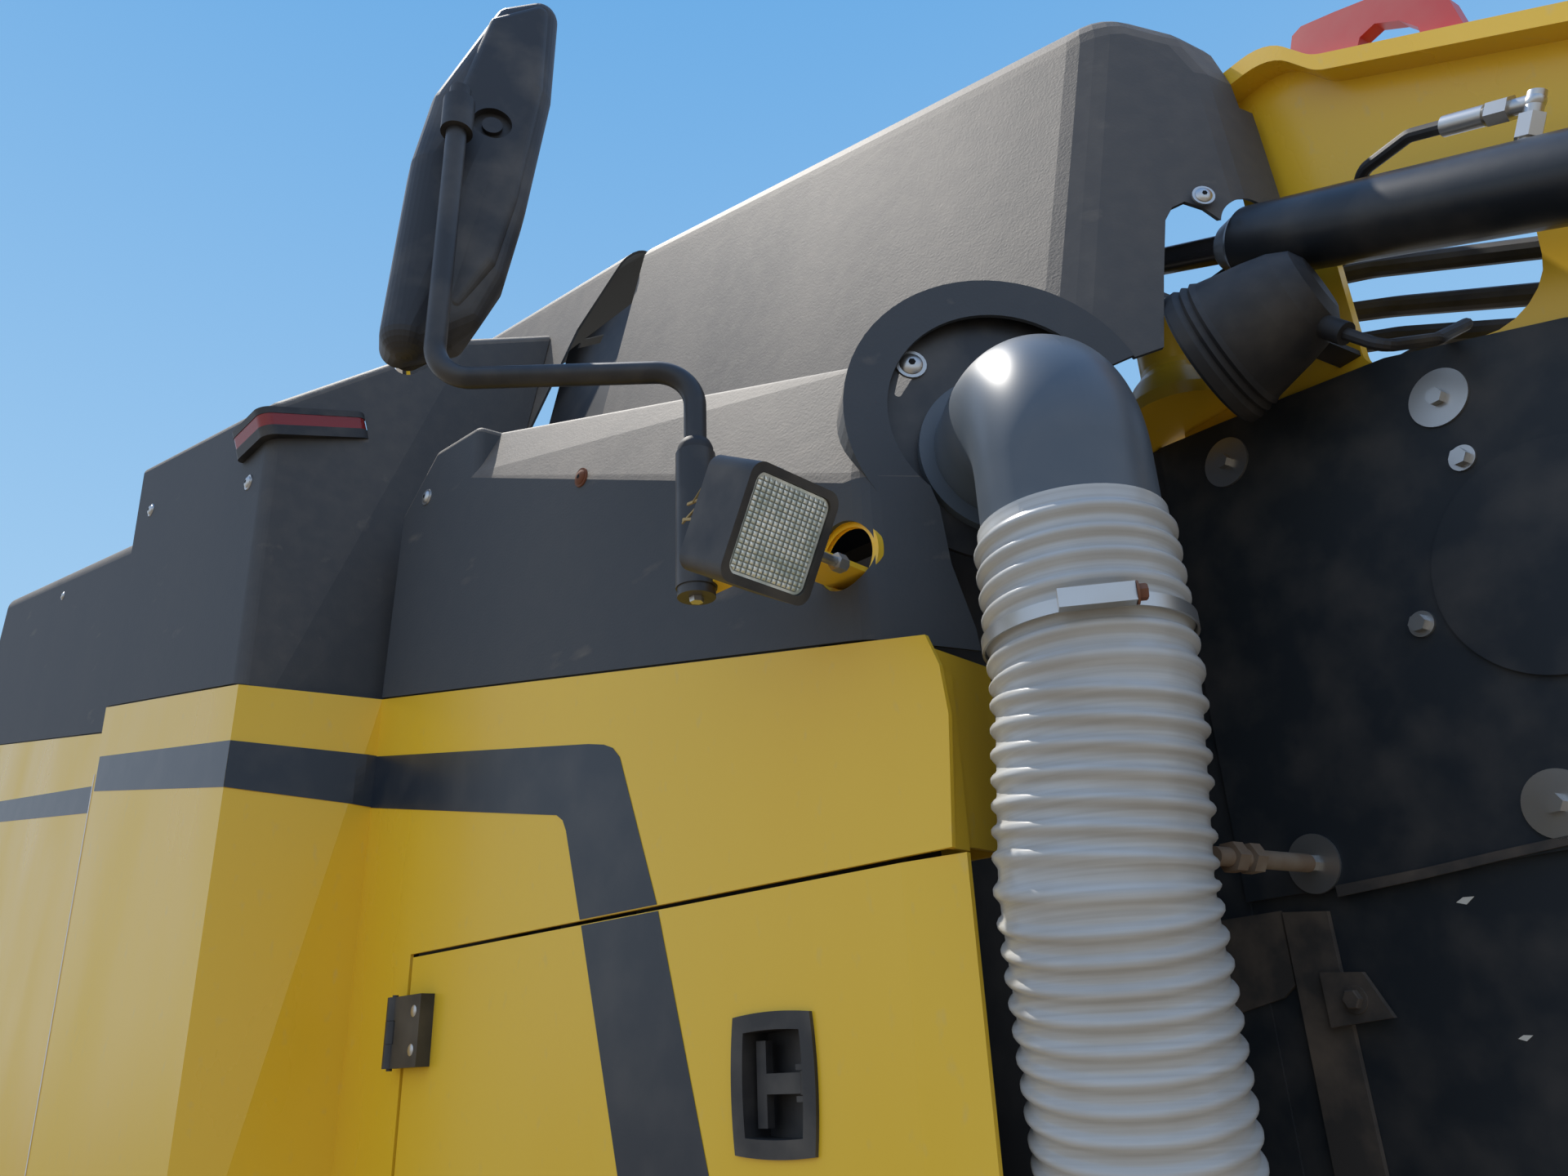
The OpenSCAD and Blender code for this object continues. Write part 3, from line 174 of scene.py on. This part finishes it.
def grained_cover():
    """Warm grey grained moulding, dusty where it looks up and lighter there, partly real bleaching and partly
    painted sunlight; its bluish base is painted shade.
    """
    mat, tree, shader = new_material("grained cover")
    base, bleached_and_sunlit, dust = (0.050, 0.058, 0.068), (0.108, 0.094, 0.080), (0.235, 0.20, 0.16)
    # lit lays the lighter warm colour on faces that look up: painted sunlight with some real bleaching. The
    # bluish base is the walls' painted shade colour.
    lit = ramp(tree, upward(tree), -0.02, 0.22)
    streaks = ramp(tree, noise(tree, 4, 10, (1, 1, 0.3)), 0.36, 0.70)
    mottle = ramp(tree, noise(tree, 34, 8), 0.40, 0.72)
    colour = mixed(tree, lit, base, bleached_and_sunlit)
    colour = mixed(tree, times(tree, times(tree, streaks, lit), 0.45), colour, dust)
    colour = mixed(tree, times(tree, times(tree, mottle, lit), 0.30), colour, dust)
    scuffs = ramp(tree, noise(tree, 21, 12, (0.3, 1, 1)), 0.66, 0.76)
    colour = mixed(tree, times(tree, scuffs, 0.35), colour, dust)
    tree.links.new(colour, shader.inputs["Base Color"])
    shader.inputs["Roughness"].default_value = 0.70
    bumped(tree, shader, noise(tree, 260, 4), 0.0010, 0.40)
    return mat


def clear_hose():
    """Off-white plastic that lets some light through."""
    mat, tree, shader = new_material("hose plastic")
    dirt = ramp(tree, noise(tree, 9, 8), 0.40, 0.74)
    colour = mixed(tree, times(tree, dirt, 0.45), (0.60, 0.61, 0.60), (0.36, 0.31, 0.25))
    rings = ramp(tree, noise(tree, 3, 6, (1, 1, 90)), 0.35, 0.70)
    colour = mixed(tree, times(tree, rings, 0.35), colour, (0.30, 0.28, 0.25))
    tree.links.new(colour, shader.inputs["Base Color"])
    shader.inputs["Roughness"].default_value = 0.24
    shader.inputs["Transmission Weight"].default_value = 0.10
    return mat


def ribbed_glass():
    """Pressed lens glass: cells made bright with painted glints and sheen, between fine ribs."""
    mat, tree, shader = new_material("clear lens")
    # The light colour and its brighter patches are painted glints and sheen, not the glass's own colour.
    painted_glints = ramp(tree, noise(tree, 60, 4), 0.35, 0.65)
    colour = mixed(tree, painted_glints, (0.55, 0.62, 0.56), (0.96, 0.98, 0.90))
    tree.links.new(colour, shader.inputs["Base Color"])
    shader.inputs["Metallic"].default_value = 0.35
    shader.inputs["Roughness"].default_value = 0.16
    return mat


def glassy(name, colour, transmission, roughness):
    """A lens material."""
    mat, tree, shader = new_material(name)
    shader.inputs["Base Color"].default_value = (*colour, 1)
    shader.inputs["Transmission Weight"].default_value = transmission
    shader.inputs["Roughness"].default_value = roughness
    return mat


MATERIALS = {
    "yellow_paint": yellow_paint(),
    "grey_cover": grained_cover(),
    "dark_frame": plain("frame paint", (0.018, 0.019, 0.022), 0.55, dust=0.07),
    "black_metal": plain("black paint", (0.020, 0.021, 0.024), 0.42, dust=0.12),
    "black_plastic": plain("black plastic", (0.022, 0.022, 0.024), 0.50, dust=0.16),
    "red_lens": glassy("red lens", (0.32, 0.012, 0.012), 0.2, 0.18),
    "clear_lens": ribbed_glass(),
    "grey_duct": plain("duct moulding", (0.082, 0.104, 0.130), 0.36, dust=0.10,
                       dust_colour=(0.3, 0.28, 0.26)),
    "hose_plastic": clear_hose(),
    "zinc_steel": plain("zinc plate", (0.55, 0.55, 0.54), 0.34, metallic=0.9, dust=0.3),
    "mirror": plain("mirror glass", (0.85, 0.86, 0.88), 0.03, metallic=1.0),
    "red_paint": plain("red paint", (0.52, 0.012, 0.016), 0.38, dust=0.10),
    "dark_paint": plain("dark paint", (0.014, 0.017, 0.022), 0.33, dust=0.08),
    "chrome_rod": plain("rod chrome", (0.10, 0.10, 0.11), 0.25, metallic=0.7),
    "black_rubber": plain("rubber", (0.016, 0.016, 0.018), 0.6, dust=0.10),
    "curtain_rubber": plain("curtain rubber", (0.016, 0.022, 0.029), 0.62, dust=0.28,
                            dust_colour=(0.16, 0.14, 0.12)),
    "rusty_steel": plain("rusty steel", (0.20, 0.12, 0.07), 0.7, metallic=0.3, dust=0.7),
}
# Faces that meet at more than these angles show a sharp edge
SOLID_EDGE = math.radians(28)
TURNED_EDGE = math.radians(35)
TUBE_EDGE = math.radians(50)

for row in frame["record"]["subparts"]:
    shown = NODES[row["node"]]
    shown.data.materials.clear()
    shown.data.materials.append(MATERIALS[row["material_slot"]])
    shown.data.shade_smooth()
    shown.data.set_sharp_from_angle(angle=SOLID_EDGE)

# Pieces


def piece(name, corners, faces, material, body="main"):
    """A mesh piece that rides on a body."""
    mesh = bpy.data.meshes.new(name)
    mesh.from_pydata([tuple(c) for c in corners], [], faces)
    mesh.materials.append(MATERIALS[material] if isinstance(material, str) else material)
    made = bpy.data.objects.new(name, mesh)
    bpy.context.scene.collection.objects.link(made)
    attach(made, body)
    return made


def between_rings(rings, sides):
    """The faces between rings of corners that lie one after another."""
    faces = []
    for ring in range(rings - 1):
        for k in range(sides):
            n = (k + 1) % sides
            faces.append((ring * sides + k, ring * sides + n, (ring + 1) * sides + n, (ring + 1) * sides + k))
    return faces


def turned(name, profile, at, axis, material, body="main", sides=32, smooth=True):
    """A turned piece: profile lists (radius, height) in mm along axis, from the place at."""
    turn = Vector(axis).to_track_quat("Z", "Y").to_matrix()
    corners = []
    for radius, height in profile:
        for k in range(sides):
            angle = 2 * math.pi * k / sides
            local = Vector((radius * math.cos(angle), radius * math.sin(angle), height)) * MM
            corners.append(turn @ local + at)
    made = piece(name, corners, between_rings(len(profile), sides), material, body)
    if smooth:
        made.data.shade_smooth()
        made.data.set_sharp_from_angle(angle=TURNED_EDGE)
    return made


STRIPE = plain("stripe", (0.017, 0.025, 0.038), 0.35, dust=0.06)
# Painted shade for the lens grooves: a darker colour on the glass where its grooves run.
LENS_GROOVE_SHADE = plain("lens groove", (0.16, 0.19, 0.18), 0.3)
RUST = plain("rust", (0.16, 0.05, 0.02), 0.85, dust=0.3)
PALE = plain("bright edge", (0.86, 0.84, 0.76), 0.5)
# Painted shade: a near-black colour for the shaded recess of a screw's socket.
SOCKET_SHADE = plain("dark hole", (0.004, 0.004, 0.004), 0.9)
STRAW = plain("straw", (0.50, 0.36, 0.14), 0.9, dust=0.3)
# How far a stripe lies in front of its wall
PROUD = 0.6
# The walls along the machine, by their y: the side panels, and the pillar in front of them
PANEL_Y = 0
PILLAR_Y = -210
OUTWARD = (0, -1, 0)
INBOARD = (0, 1, 0)
UP = (0, 0, 1)
DOWN = (0, 0, -1)


def stripe(name, outline, body="main", material=STRIPE):
    """A thin stripe on a panel; outline lists its corners in order."""
    return piece(name, outline, [tuple(range(len(outline)))], material, body)


def on_wall(y, points):
    """Corners on an upright wall along the machine, a hair in front of its face."""
    return [place(x, y - PROUD, z) for x, z in points]


def extruded(name, front, depth, material, body="main"):
    """A plate: its front face's corners in order, and the vector to its back face."""
    n = len(front)
    corners = list(front) + [c + depth for c in front]
    faces = [tuple(range(n)), tuple(range(2 * n - 1, n - 1, -1))]
    faces += [(k, k + n, (k + 1) % n + n, (k + 1) % n) for k in range(n)]
    return piece(name, corners, faces, material, body)


# The pillar's twisted front wall: each facet's x at the datum, and its change with y and z
UPPER_FACET = (-1690.7, 0.2366, -0.038)
LOWER_FACET = (-1712, 0.0752, 0)
RETURN_PROUD = 1.6
RETURN_COLUMNS = 14
RETURN_ROWS = 6
# Columns: x, z
REAR_STRIPE = [(-5148, 1035), (-3334, 765), (-2480, 630), (-2480, 560), (-3334, 694), (-5148, 966)]
PILLAR_STRIPE = [(-2463, 623), (-1758, 497), (-1756, 425), (-2455, 553)]
PANEL_STRIPE = [
    (-1711, 495), (-1130, 386), (-1098, 378), (-1080, 370), (-1066, 356), (-994, 176),
    (-1137, 176), (-1172, 286), (-1180, 300), (-1194, 309), (-1215, 313), (-1711, 412),
]
DOOR_STRIPE = [(-992, 169), (-838, -329), (-983, -329), (-1134, 169)]
BRIGHT_EDGE = [(-2477, 590), (-2472, 590), (-2365, -330), (-2370, -330)]


def return_wall(y, z):
    """A place a hair in front of the pillar's front wall, on the rearmost of its two facets."""
    x = min(at + by_y * y + by_z * z for at, by_y, by_z in (UPPER_FACET, LOWER_FACET))
    return place(x + RETURN_PROUD, y, z)


def return_stripe():
    """The stripe's part on the pillar's front wall, between the pillar and the side panel."""
    corners = []
    for j in range(RETURN_ROWS + 1):
        for i in range(RETURN_COLUMNS + 1):
            y = PILLAR_Y - 0.4 - PILLAR_Y * i / RETURN_COLUMNS
            low = 425 - 12 * i / RETURN_COLUMNS
            height = 72 + 11 * i / RETURN_COLUMNS
            corners.append(return_wall(y, low + height * j / RETURN_ROWS))
    wide = RETURN_COLUMNS + 1
    faces = [(j * wide + i, j * wide + i + 1, (j + 1) * wide + i + 1, (j + 1) * wide + i)
             for j in range(RETURN_ROWS) for i in range(RETURN_COLUMNS)]
    piece("stripe_return", corners, faces, STRIPE)


def stripes():
    """The dark livery stripes, and the bright rear edge of the pillar; the door's stripe moves with it."""
    stripe("stripe_rear", on_wall(PANEL_Y, REAR_STRIPE))
    stripe("stripe_pillar", on_wall(PILLAR_Y, PILLAR_STRIPE))
    return_stripe()
    stripe("stripe_panel", on_wall(PANEL_Y, PANEL_STRIPE))
    stripe("stripe_door", on_wall(PANEL_Y, DOOR_STRIPE), "door")
    stripe("bright_rear_edge", on_wall(PILLAR_Y - 0.4, BRIGHT_EDGE), material=PALE)


# Columns: radius, height
BUTTON = [(0, 5), (4, 5), (8, 4), (10.5, 2), (11, 0)]
WASHER = [(0, 2), (14, 2), (14.5, 0)]
SOCKET = [(0, 6.4), (3.4, 6.3)]


def button_screw(name, at, axis, material, body="main", scale=1.0):
    """A round-headed screw on a washer, with a near-black disc for its socket: painted shade of the recess.
    """
    turned(name, [(r * scale, h * scale + 1) for r, h in BUTTON], at, axis, material, body, 20)
    turned(name + "_washer", [(r * scale, h * scale) for r, h in WASHER], at, axis, material, body, 20)
    turned(name + "_socket", [(r * scale, h * scale) for r, h in SOCKET], at, axis, SOCKET_SHADE, body, 6, False)


def hex_bolt(name, at, axis, across, height, material, body="main"):
    """A hexagon head on a washer."""
    turned(name, [(0, height), (across * 0.5, height), (across * 0.58, height - 1.5), (across * 0.58, 0)],
           at, axis, material, body, 6, False)
    turned(name + "_washer", [(0, 2), (across * 0.8, 2), (across * 0.8, 0)], at, axis, material, body, 24)


# Columns: name, place on the covers, material
COVER_SCREWS = [
    ("screw_cap_rear", (-2458, PILLAR_Y, 1162), "zinc_steel"),
    ("screw_cap_front", (-1871, PILLAR_Y, 986), "zinc_steel"),
    ("screw_cover_rear", (-1624, PANEL_Y, 930), "zinc_steel"),
    ("screw_cover_middle", (-1167, PANEL_Y, 777), RUST),
    ("screw_rear_hood", (-4214, PANEL_Y, 1593), "zinc_steel"),
]
NOSE_OUT = Vector((1, -1, 0)).normalized()
RING_OUT = Vector((0.766, -0.643, 0))
# The hinges' heights, and the outer face of their leaves on the door
HINGES_Z = (73, 73 - 306)
LEAF_X = -1480
LEAF_Y = -20
HINGE_SCREW = [(0, 0.8), (6, 0.8), (7.5, 0)]


def screws():
    """Screws of the covers, the duct's plate and the hinges."""
    for name, at, material in COVER_SCREWS:
        button_screw(name, place(*at), OUTWARD, material)
    button_screw("screw_nose", place(-381, 350, 965), NOSE_OUT, "zinc_steel")
    button_screw("screw_duct_plate", place(-634, 66, 720), RING_OUT, "zinc_steel", scale=1.25)
    for index, z in enumerate(HINGES_Z):
        for step in (-24, 24):
            turned(f"screw_hinge_{index}_{step + 24}", HINGE_SCREW, place(LEAF_X, LEAF_Y, z + step),
                   OUTWARD, "zinc_steel", "door", 20)


# Centre line of the suction hose, from the elbow down to the lower duct
DUCT_X, DUCT_Y = -454.517, 37.651
HOSE_POINTS = [
    (DUCT_X, DUCT_Y, 441), (DUCT_X, DUCT_Y, 290), (-478, 44, 130), (-503, 92, -60),
    (-535, 140, -240), (-535, 140, -385),
]
HOSE_BEND = 160
BEND_STEPS = 12
BORE_STEPS = 40
HOSE_R = 84
HOSE_BORE_R = 80.7
RIDGE_H = 5
RIDGE_PITCH = 21
FIRST_RIDGE = 12
PLAIN_ENDS = 20
# Columns: share of the pitch, share of the ridge's height
RIDGE = [
    (0.0, 0.0), (0.10, 0.16), (0.20, 0.70), (0.32, 1.0),
    (0.46, 0.97), (0.58, 0.62), (0.68, 0.14), (0.78, 0.0),
]


def rounded_route(points, radius, steps):
    """The points with each corner turned into an arc."""
    points = [Vector(p) for p in points]
    path = [points[0]]
    for a, b, c in zip(points, points[1:], points[2:]):
        u, w = (a - b).normalized(), (c - b).normalized()
        half = u.angle(w) / 2
        turn = math.pi - 2 * half
        centre = b + (u + w).normalized() * (radius / math.sin(half))
        start = b + u * (radius / math.tan(half)) - centre
        end = b + w * (radius / math.tan(half)) - centre
        for i in range(steps + 1):
            share = i / steps
            arm = start * math.sin((1 - share) * turn) + end * math.sin(share * turn)
            path.append(centre + arm / math.sin(turn))
    return path + [points[-1]]


def stations(path, marks):
    """Places and directions at the given lengths along the path."""
    lengths = [0.0]
    for a, b in zip(path, path[1:]):
        lengths.append(lengths[-1] + (b - a).length)
    found = []
    for mark in marks:
        mark = min(max(mark, 0), lengths[-1])
        i = max(k for k in range(len(path) - 1) if lengths[k] <= mark)
        step = path[i + 1] - path[i]
        found.append((path[i] + step * ((mark - lengths[i]) / step.length), step.normalized()))
    return found


def tube(name, rings, material, body="main", sides=56):
    """A swept tube; rings lists (centre in mm, direction, radius)."""
    corners = []
    for centre, along, radius in rings:
        side = Vector((1, 0, 0)).cross(along).normalized()
        other = along.cross(side)
        for k in range(sides):
            angle = 2 * math.pi * k / sides
            corners.append(place(*(centre + (side * math.cos(angle) + other * math.sin(angle)) * radius)))
    made = piece(name, corners, between_rings(len(rings), sides), material, body)
    made.data.shade_smooth()
    made.data.set_sharp_from_angle(angle=TUBE_EDGE)
    return made


def suction_hose():
    """The ridged hose, with rounder ridges than its solid."""
    path = rounded_route(HOSE_POINTS, HOSE_BEND, BEND_STEPS)
    length = sum((b - a).length for a, b in zip(path, path[1:]))
    marks, heights = [0], [0]
    for i in range(int((length - PLAIN_ENDS) / RIDGE_PITCH)):
        for share, height in RIDGE:
            marks.append(FIRST_RIDGE + (i + share) * RIDGE_PITCH)
            heights.append(height)
    marks.append(length)
    heights.append(0)
    outer = [(c, d, HOSE_R + h * RIDGE_H) for (c, d), h in zip(stations(path, marks), heights)]
    back = [length * i / BORE_STEPS for i in range(BORE_STEPS, -1, -1)]
    inner = [(c, d, HOSE_BORE_R) for c, d in stations(path, back)]
    hose = tube("suction_hose_ridges", outer + inner + outer[:1], "hose_plastic")
    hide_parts("suction_hose")


# The carrier's cheek: its turn from the machine's length, and where its face meets the datum's x
CHEEK_TURN = math.radians(15)
CHEEK_Y = 400
CHEEK_ALONG = Vector((math.cos(CHEEK_TURN), -math.sin(CHEEK_TURN), 0))
CHEEK_IN = Vector((math.sin(CHEEK_TURN), math.cos(CHEEK_TURN), 0))


def cheek(x, y, z):
    """A place along the carrier's cheek: x along it, y inboard of its face."""
    at = CHEEK_ALONG * x + CHEEK_IN * y + Vector((0, CHEEK_Y, z))
    return place(*at)


def cheek_plate(name, outline, y, thickness, material):
    """A plate on the cheek's face; outline lists (x, z) along the cheek."""
    return extruded(name, [cheek(x, y, z) for x, z in outline], CHEEK_IN * thickness * MM, material)


DUSTY = plain("dusty steel", (0.055, 0.050, 0.046), 0.8, dust=0.85, dust_colour=(0.20, 0.155, 0.115))
# The outer faces of the pieces in front of the cheek, and the lower end of the curtains
PLATE_Y = -5
POST_Y = -7
SEAM_Y = -11
BRACKET_Y = -14
EDGE_Y = -2
CHIP_Y = -0.6
CURTAIN_LOW = -425
# Columns: name, outline as x and z, outer face, thickness, material
CHEEK_PLATES = [
    ("dusty_post", [(-556, 148), (-500, 142), (-498, CURTAIN_LOW), (-560, CURTAIN_LOW)], POST_Y, 6, DUSTY),
    ("torn_plate", [(-668, 150), (-560, 150), (-560, 70), (-578, 58), (-640, 46), (-668, 60)],
     PLATE_Y, 4, DUSTY),
    ("post_bracket", [(-520, 80), (-470, 76), (-446, 30), (-520, 24)], BRACKET_Y, 6, DUSTY),
]
CURTAIN_PLATES = [
    ("seam_flap", [(-480, 166), (-380, 168), (-300, 172), (-200, 176), (-200, 168), (-300, 163),
                   (-380, 158), (-480, 154)], SEAM_Y, 3, DUSTY),
    ("curtain_edge", [(-655, 770), (-600, 787), (-600, CURTAIN_LOW), (-655, CURTAIN_LOW)],
     EDGE_Y, 2, "curtain_rubber"),
]
# Columns: x, z, size
CHIPS = [(-352, 132, 8), (-232, 76, 10), (-330, 5, 6), (-262, -120, 5)]


def curtain_fittings():
    """Dusty post, torn plate and bracket below the curtains, their seam and edge, and chips in the rubber."""
    for row in CHEEK_PLATES:
        cheek_plate(*row)
    hex_bolt("post_bolt", cheek(-484, BRACKET_Y, 50), -CHEEK_IN, 18, 9, DUSTY)
    for row in CURTAIN_PLATES:
        cheek_plate(*row)
    for index, (x, z, size) in enumerate(CHIPS):
        chip = [(x - size, z), (x, z + size * 0.5), (x + size * 1.4, z + size * 0.4),
                (x + size * 0.2, z - size * 0.4)]
        cheek_plate(f"curtain_chip_{index}", chip, CHIP_Y, 0.5, PALE)


# The work lamp: its middle, its tilt, and its own directions forwards and up
LAMP_AT = Vector((-651, -161, 449))
LAMP_TILT = math.radians(29)
LAMP_FRONT = Vector((math.cos(LAMP_TILT), 0, -math.sin(LAMP_TILT)))
LAMP_UP = Vector((math.sin(LAMP_TILT), 0, math.cos(LAMP_TILT)))
# The ribbed glass: half its width, its front, how far its cells swell, and how many there are
GLASS_HALF = 43
GLASS_FRONT = 28.2
GLASS_SWELL = 1.6
GLASS_EDGE = 3
CELLS_Y, CELLS_Z = 14, 18
STEPS_A_CELL = 6
# The bolt through the lamp's yoke starts at the yoke's inboard face
YOKE_BOLT_AT = (-659.7, -95.8, 453.8)
# Columns: name, profile as radius and height, sides, smooth
YOKE_BOLT = [
    ("yoke_bolt", [(0, 60), (4.2, 60), (5, 58.5), (5, 0)], 32, True),
    ("yoke_washer", [(5, 2), (11.5, 2), (11.5, 0), (5, 0)], 32, True),
    ("yoke_nut", [(5, 55), (9.4, 55), (9.4, 43), (5, 43)], 6, False),
]
HOLE_RIM = [(34, 10), (42, 10), (44, 16), (34, 16)]
# Columns: x and z in the lamp, turn in radians
STRAWS = [(-40, 8, 0.5), (-44, -4, 1.1), (-38, -10, 0.2), (-42, 18, 1.4)]
STRAW_Y = -46
STRAW_HALF = 13
STRAW_THICK = Vector((0, 0.002, 0))


def lamp(x, y, z):
    """A place in the work lamp: x forwards, y inboard, z up, before its tilt."""
    return place(*(LAMP_AT + LAMP_FRONT * x + Vector((0, y, 0)) + LAMP_UP * z))


def lamp_glass():
    """The lamp's glass: swelling cells between grooves darkened with painted shade, without the four corner
    cells' ends.
    """
    per = STEPS_A_CELL
    columns, rows = CELLS_Y * per, CELLS_Z * per
    corners, faces = [], []
    for j in range(rows + 1):
        for i in range(columns + 1):
            y, z = GLASS_HALF * (2 * i / columns - 1), GLASS_HALF * (2 * j / rows - 1)
            swell = abs(math.sin(math.pi * i / per)) ** 0.6 * abs(math.sin(math.pi * j / per)) ** 0.6
            edge = min(1.0, (GLASS_HALF - max(abs(y), abs(z))) / GLASS_EDGE)
            corners.append(lamp(GLASS_FRONT + GLASS_SWELL * swell * edge, y, z))
    for j in range(rows):
        for i in range(columns):
            n = j * (columns + 1) + i
            if min(i, columns - 1 - i) + min(j, rows - 1 - j) >= per - 1:
                faces.append((n, n + 1, n + columns + 2, n + columns + 1))
    glass = piece("lamp_glass_ribs", corners, faces, "clear_lens", "lamp")
    glass.data.materials.append(LENS_GROOVE_SHADE)
    for face in glass.data.polygons:
        j, i = divmod(face.vertices[0], columns + 1)
        # Faces along the grooves take the painted shade material.
        face.material_index = int(i % per == 0 or j % per == 0)
    glass.data.shade_smooth()


def lamp_fittings():
    """Ribbed glass, bolts and straw of the work lamp, and the bright rim of the hole behind it."""
    lamp_glass()
    hex_bolt("lamp_top_bolt", lamp(-14, 8, 54), LAMP_UP, 14, 7, "zinc_steel", "lamp")
    for name, profile, sides, smooth in YOKE_BOLT:
        turned(name, profile, place(*YOKE_BOLT_AT), INBOARD, "zinc_steel", sides=sides, smooth=smooth)
    turned("bracket_hole_rim", HOLE_RIM, place(-697, 0, 489), INBOARD, "yellow_paint", sides=48)
    for index, (x, z, turn) in enumerate(STRAWS):
        along = Vector((math.cos(turn), 0.2, math.sin(turn))) * STRAW_HALF
        blade = [Vector((x, STRAW_Y, z)) + along * s + Vector((0, 0, w))
                 for s, w in ((-1, 0), (1, 1), (1, 3.5), (-1, 2.5))]
        extruded(f"straw_{index}", [lamp(*b) for b in blade], STRAW_THICK, STRAW, "lamp")


# The mirror's socket and the top of its tube, in plan
SOCKET_XY = (-810, -99)
TUBE_XY = (-1015, -308)
# Columns: radius, height
COLLAR = [(12.6, 14), (16, 14), (18, 10), (19.5, 6), (19.5, 0), (12.6, 0)]
SOCKET_SCREW = [(0, 5), (7, 5), (8, 0)]
TUBE_CAP = [(0, 6), (10, 6), (13.2, 3), (13.2, -16), (12.6, -16)]


def mirror_fittings():
    """Collar and cap of the mirror's tube, and the screw under its socket."""
    turned("socket_collar", COLLAR, place(*SOCKET_XY, 621), UP, "black_rubber", "arm")
    turned("socket_screw", SOCKET_SCREW, place(*SOCKET_XY, 452), DOWN, "zinc_steel", sides=6, smooth=False)
    turned("tube_cap", TUBE_CAP, place(*TUBE_XY, 1156), UP, "black_plastic", "arm")


# The hose clamp: its height, and where its housing is round the hose
CLAMP_Z = 335
CLAMP_TURN = math.radians(-55)
CLAMP_SCREW_R = 96
CLAMP_HALF = 30


def clamp_fittings():
    """Rusty screw in the end of the hose clamp's housing."""
    out = Vector((math.cos(CLAMP_TURN), math.sin(CLAMP_TURN), 0))
    across = Vector((-out.y, out.x, 0))
    at = Vector((DUCT_X, DUCT_Y, CLAMP_Z)) + out * CLAMP_SCREW_R + across * CLAMP_HALF
    hex_bolt("clamp_screw", place(*at), across, 12, 9, RUST)


stripes()
screws()
suction_hose()
curtain_fittings()
lamp_fittings()
mirror_fittings()
clamp_fittings()

# Camera, light and surroundings

camera_data = bpy.data.cameras.new("camera")
camera_data.lens = 26.0
camera_data.sensor_width = 36
camera_data.clip_end = 200
camera = bpy.data.objects.new("camera", camera_data)
bpy.context.scene.collection.objects.link(camera)
# Columns: the camera's right, up and back directions
CAMERA_AXES = Matrix((
    (0.70339, 0.30542, 0.64184),
    (0.70978, -0.25328, -0.65731),
    (-0.03819, 0.91791, -0.39494)))
camera.matrix_world = Matrix.Translation(place(0, -800, 0)) @ CAMERA_AXES.to_4x4()
bpy.context.scene.camera = camera
bpy.context.scene.view_settings.view_transform = "Standard"

sun_data = bpy.data.lights.new("sun", "SUN")
sun_data.energy = 5.2
sun_data.angle = math.radians(0.6)
sun_data.color = (1.0, 0.95, 0.87)
sun = bpy.data.objects.new("sun", sun_data)
bpy.context.scene.collection.objects.link(sun)
TO_SUN = Vector((-0.46, 0.02, 0.88))
sun.rotation_mode = "QUATERNION"
sun.rotation_quaternion = TO_SUN.to_track_quat("Z", "Y")


# What the camera sees, from the horizon up
HORIZON_SKY = (0.50, 0.73, 0.93, 1)
HIGH_SKY = (0.15, 0.41, 0.78, 1)
# What lights the object, from straight below to straight above. Columns: place, colour
FELT_SKY = [
    (0.0, (0.36, 0.31, 0.25, 1)),
    (0.47, (0.42, 0.38, 0.33, 1)),
    (0.52, (0.80, 0.90, 1.0, 1)),
    (1.0, (0.24, 0.48, 0.95, 1)),
]
FELT_STRENGTH = 0.95
SEEN_STRENGTH = 1.0


def sky():
    """Blue sky for the camera, sky light and a warm glow from the ground for the object."""
    world = bpy.data.worlds.new("sky")
    bpy.context.scene.world = world
    world.use_nodes = True
    tree = world.node_tree
    tree.nodes.clear()
    coords = tree.nodes.new("ShaderNodeTexCoord")
    split = tree.nodes.new("ShaderNodeSeparateXYZ")
    tree.links.new(coords.outputs["Generated"], split.inputs["Vector"])
    seen = tree.nodes.new("ShaderNodeValToRGB")
    low, high = seen.color_ramp.elements
    low.position, low.color = 0.0, HORIZON_SKY
    high.position, high.color = 0.80, HIGH_SKY
    tree.links.new(split.outputs["Z"], seen.inputs["Fac"])
    shift = node(tree, "ShaderNodeMapRange")
    shift.inputs["From Min"].default_value = -1
    tree.links.new(split.outputs["Z"], shift.inputs["Value"])
    felt = tree.nodes.new("ShaderNodeValToRGB")
    ramp_points = felt.color_ramp.elements
    ramp_points[0].position, ramp_points[0].color = FELT_SKY[0]
    ramp_points[1].position, ramp_points[1].color = FELT_SKY[1]
    for position, colour in FELT_SKY[2:]:
        ramp_points.new(position).color = colour
    tree.links.new(shift.outputs["Result"], felt.inputs["Fac"])
    shades = []
    for source, strength in ((felt, FELT_STRENGTH), (seen, SEEN_STRENGTH)):
        shade = node(tree, "ShaderNodeBackground", Strength=strength)
        tree.links.new(source.outputs["Color"], shade.inputs["Color"])
        shades.append(shade)
    ray = tree.nodes.new("ShaderNodeLightPath")
    mix = tree.nodes.new("ShaderNodeMixShader")
    tree.links.new(ray.outputs["Is Camera Ray"], mix.inputs["Fac"])
    tree.links.new(shades[0].outputs["Background"], mix.inputs[1])
    tree.links.new(shades[1].outputs["Background"], mix.inputs[2])
    out = tree.nodes.new("ShaderNodeOutputWorld")
    tree.links.new(mix.outputs["Shader"], out.inputs["Surface"])


sky()
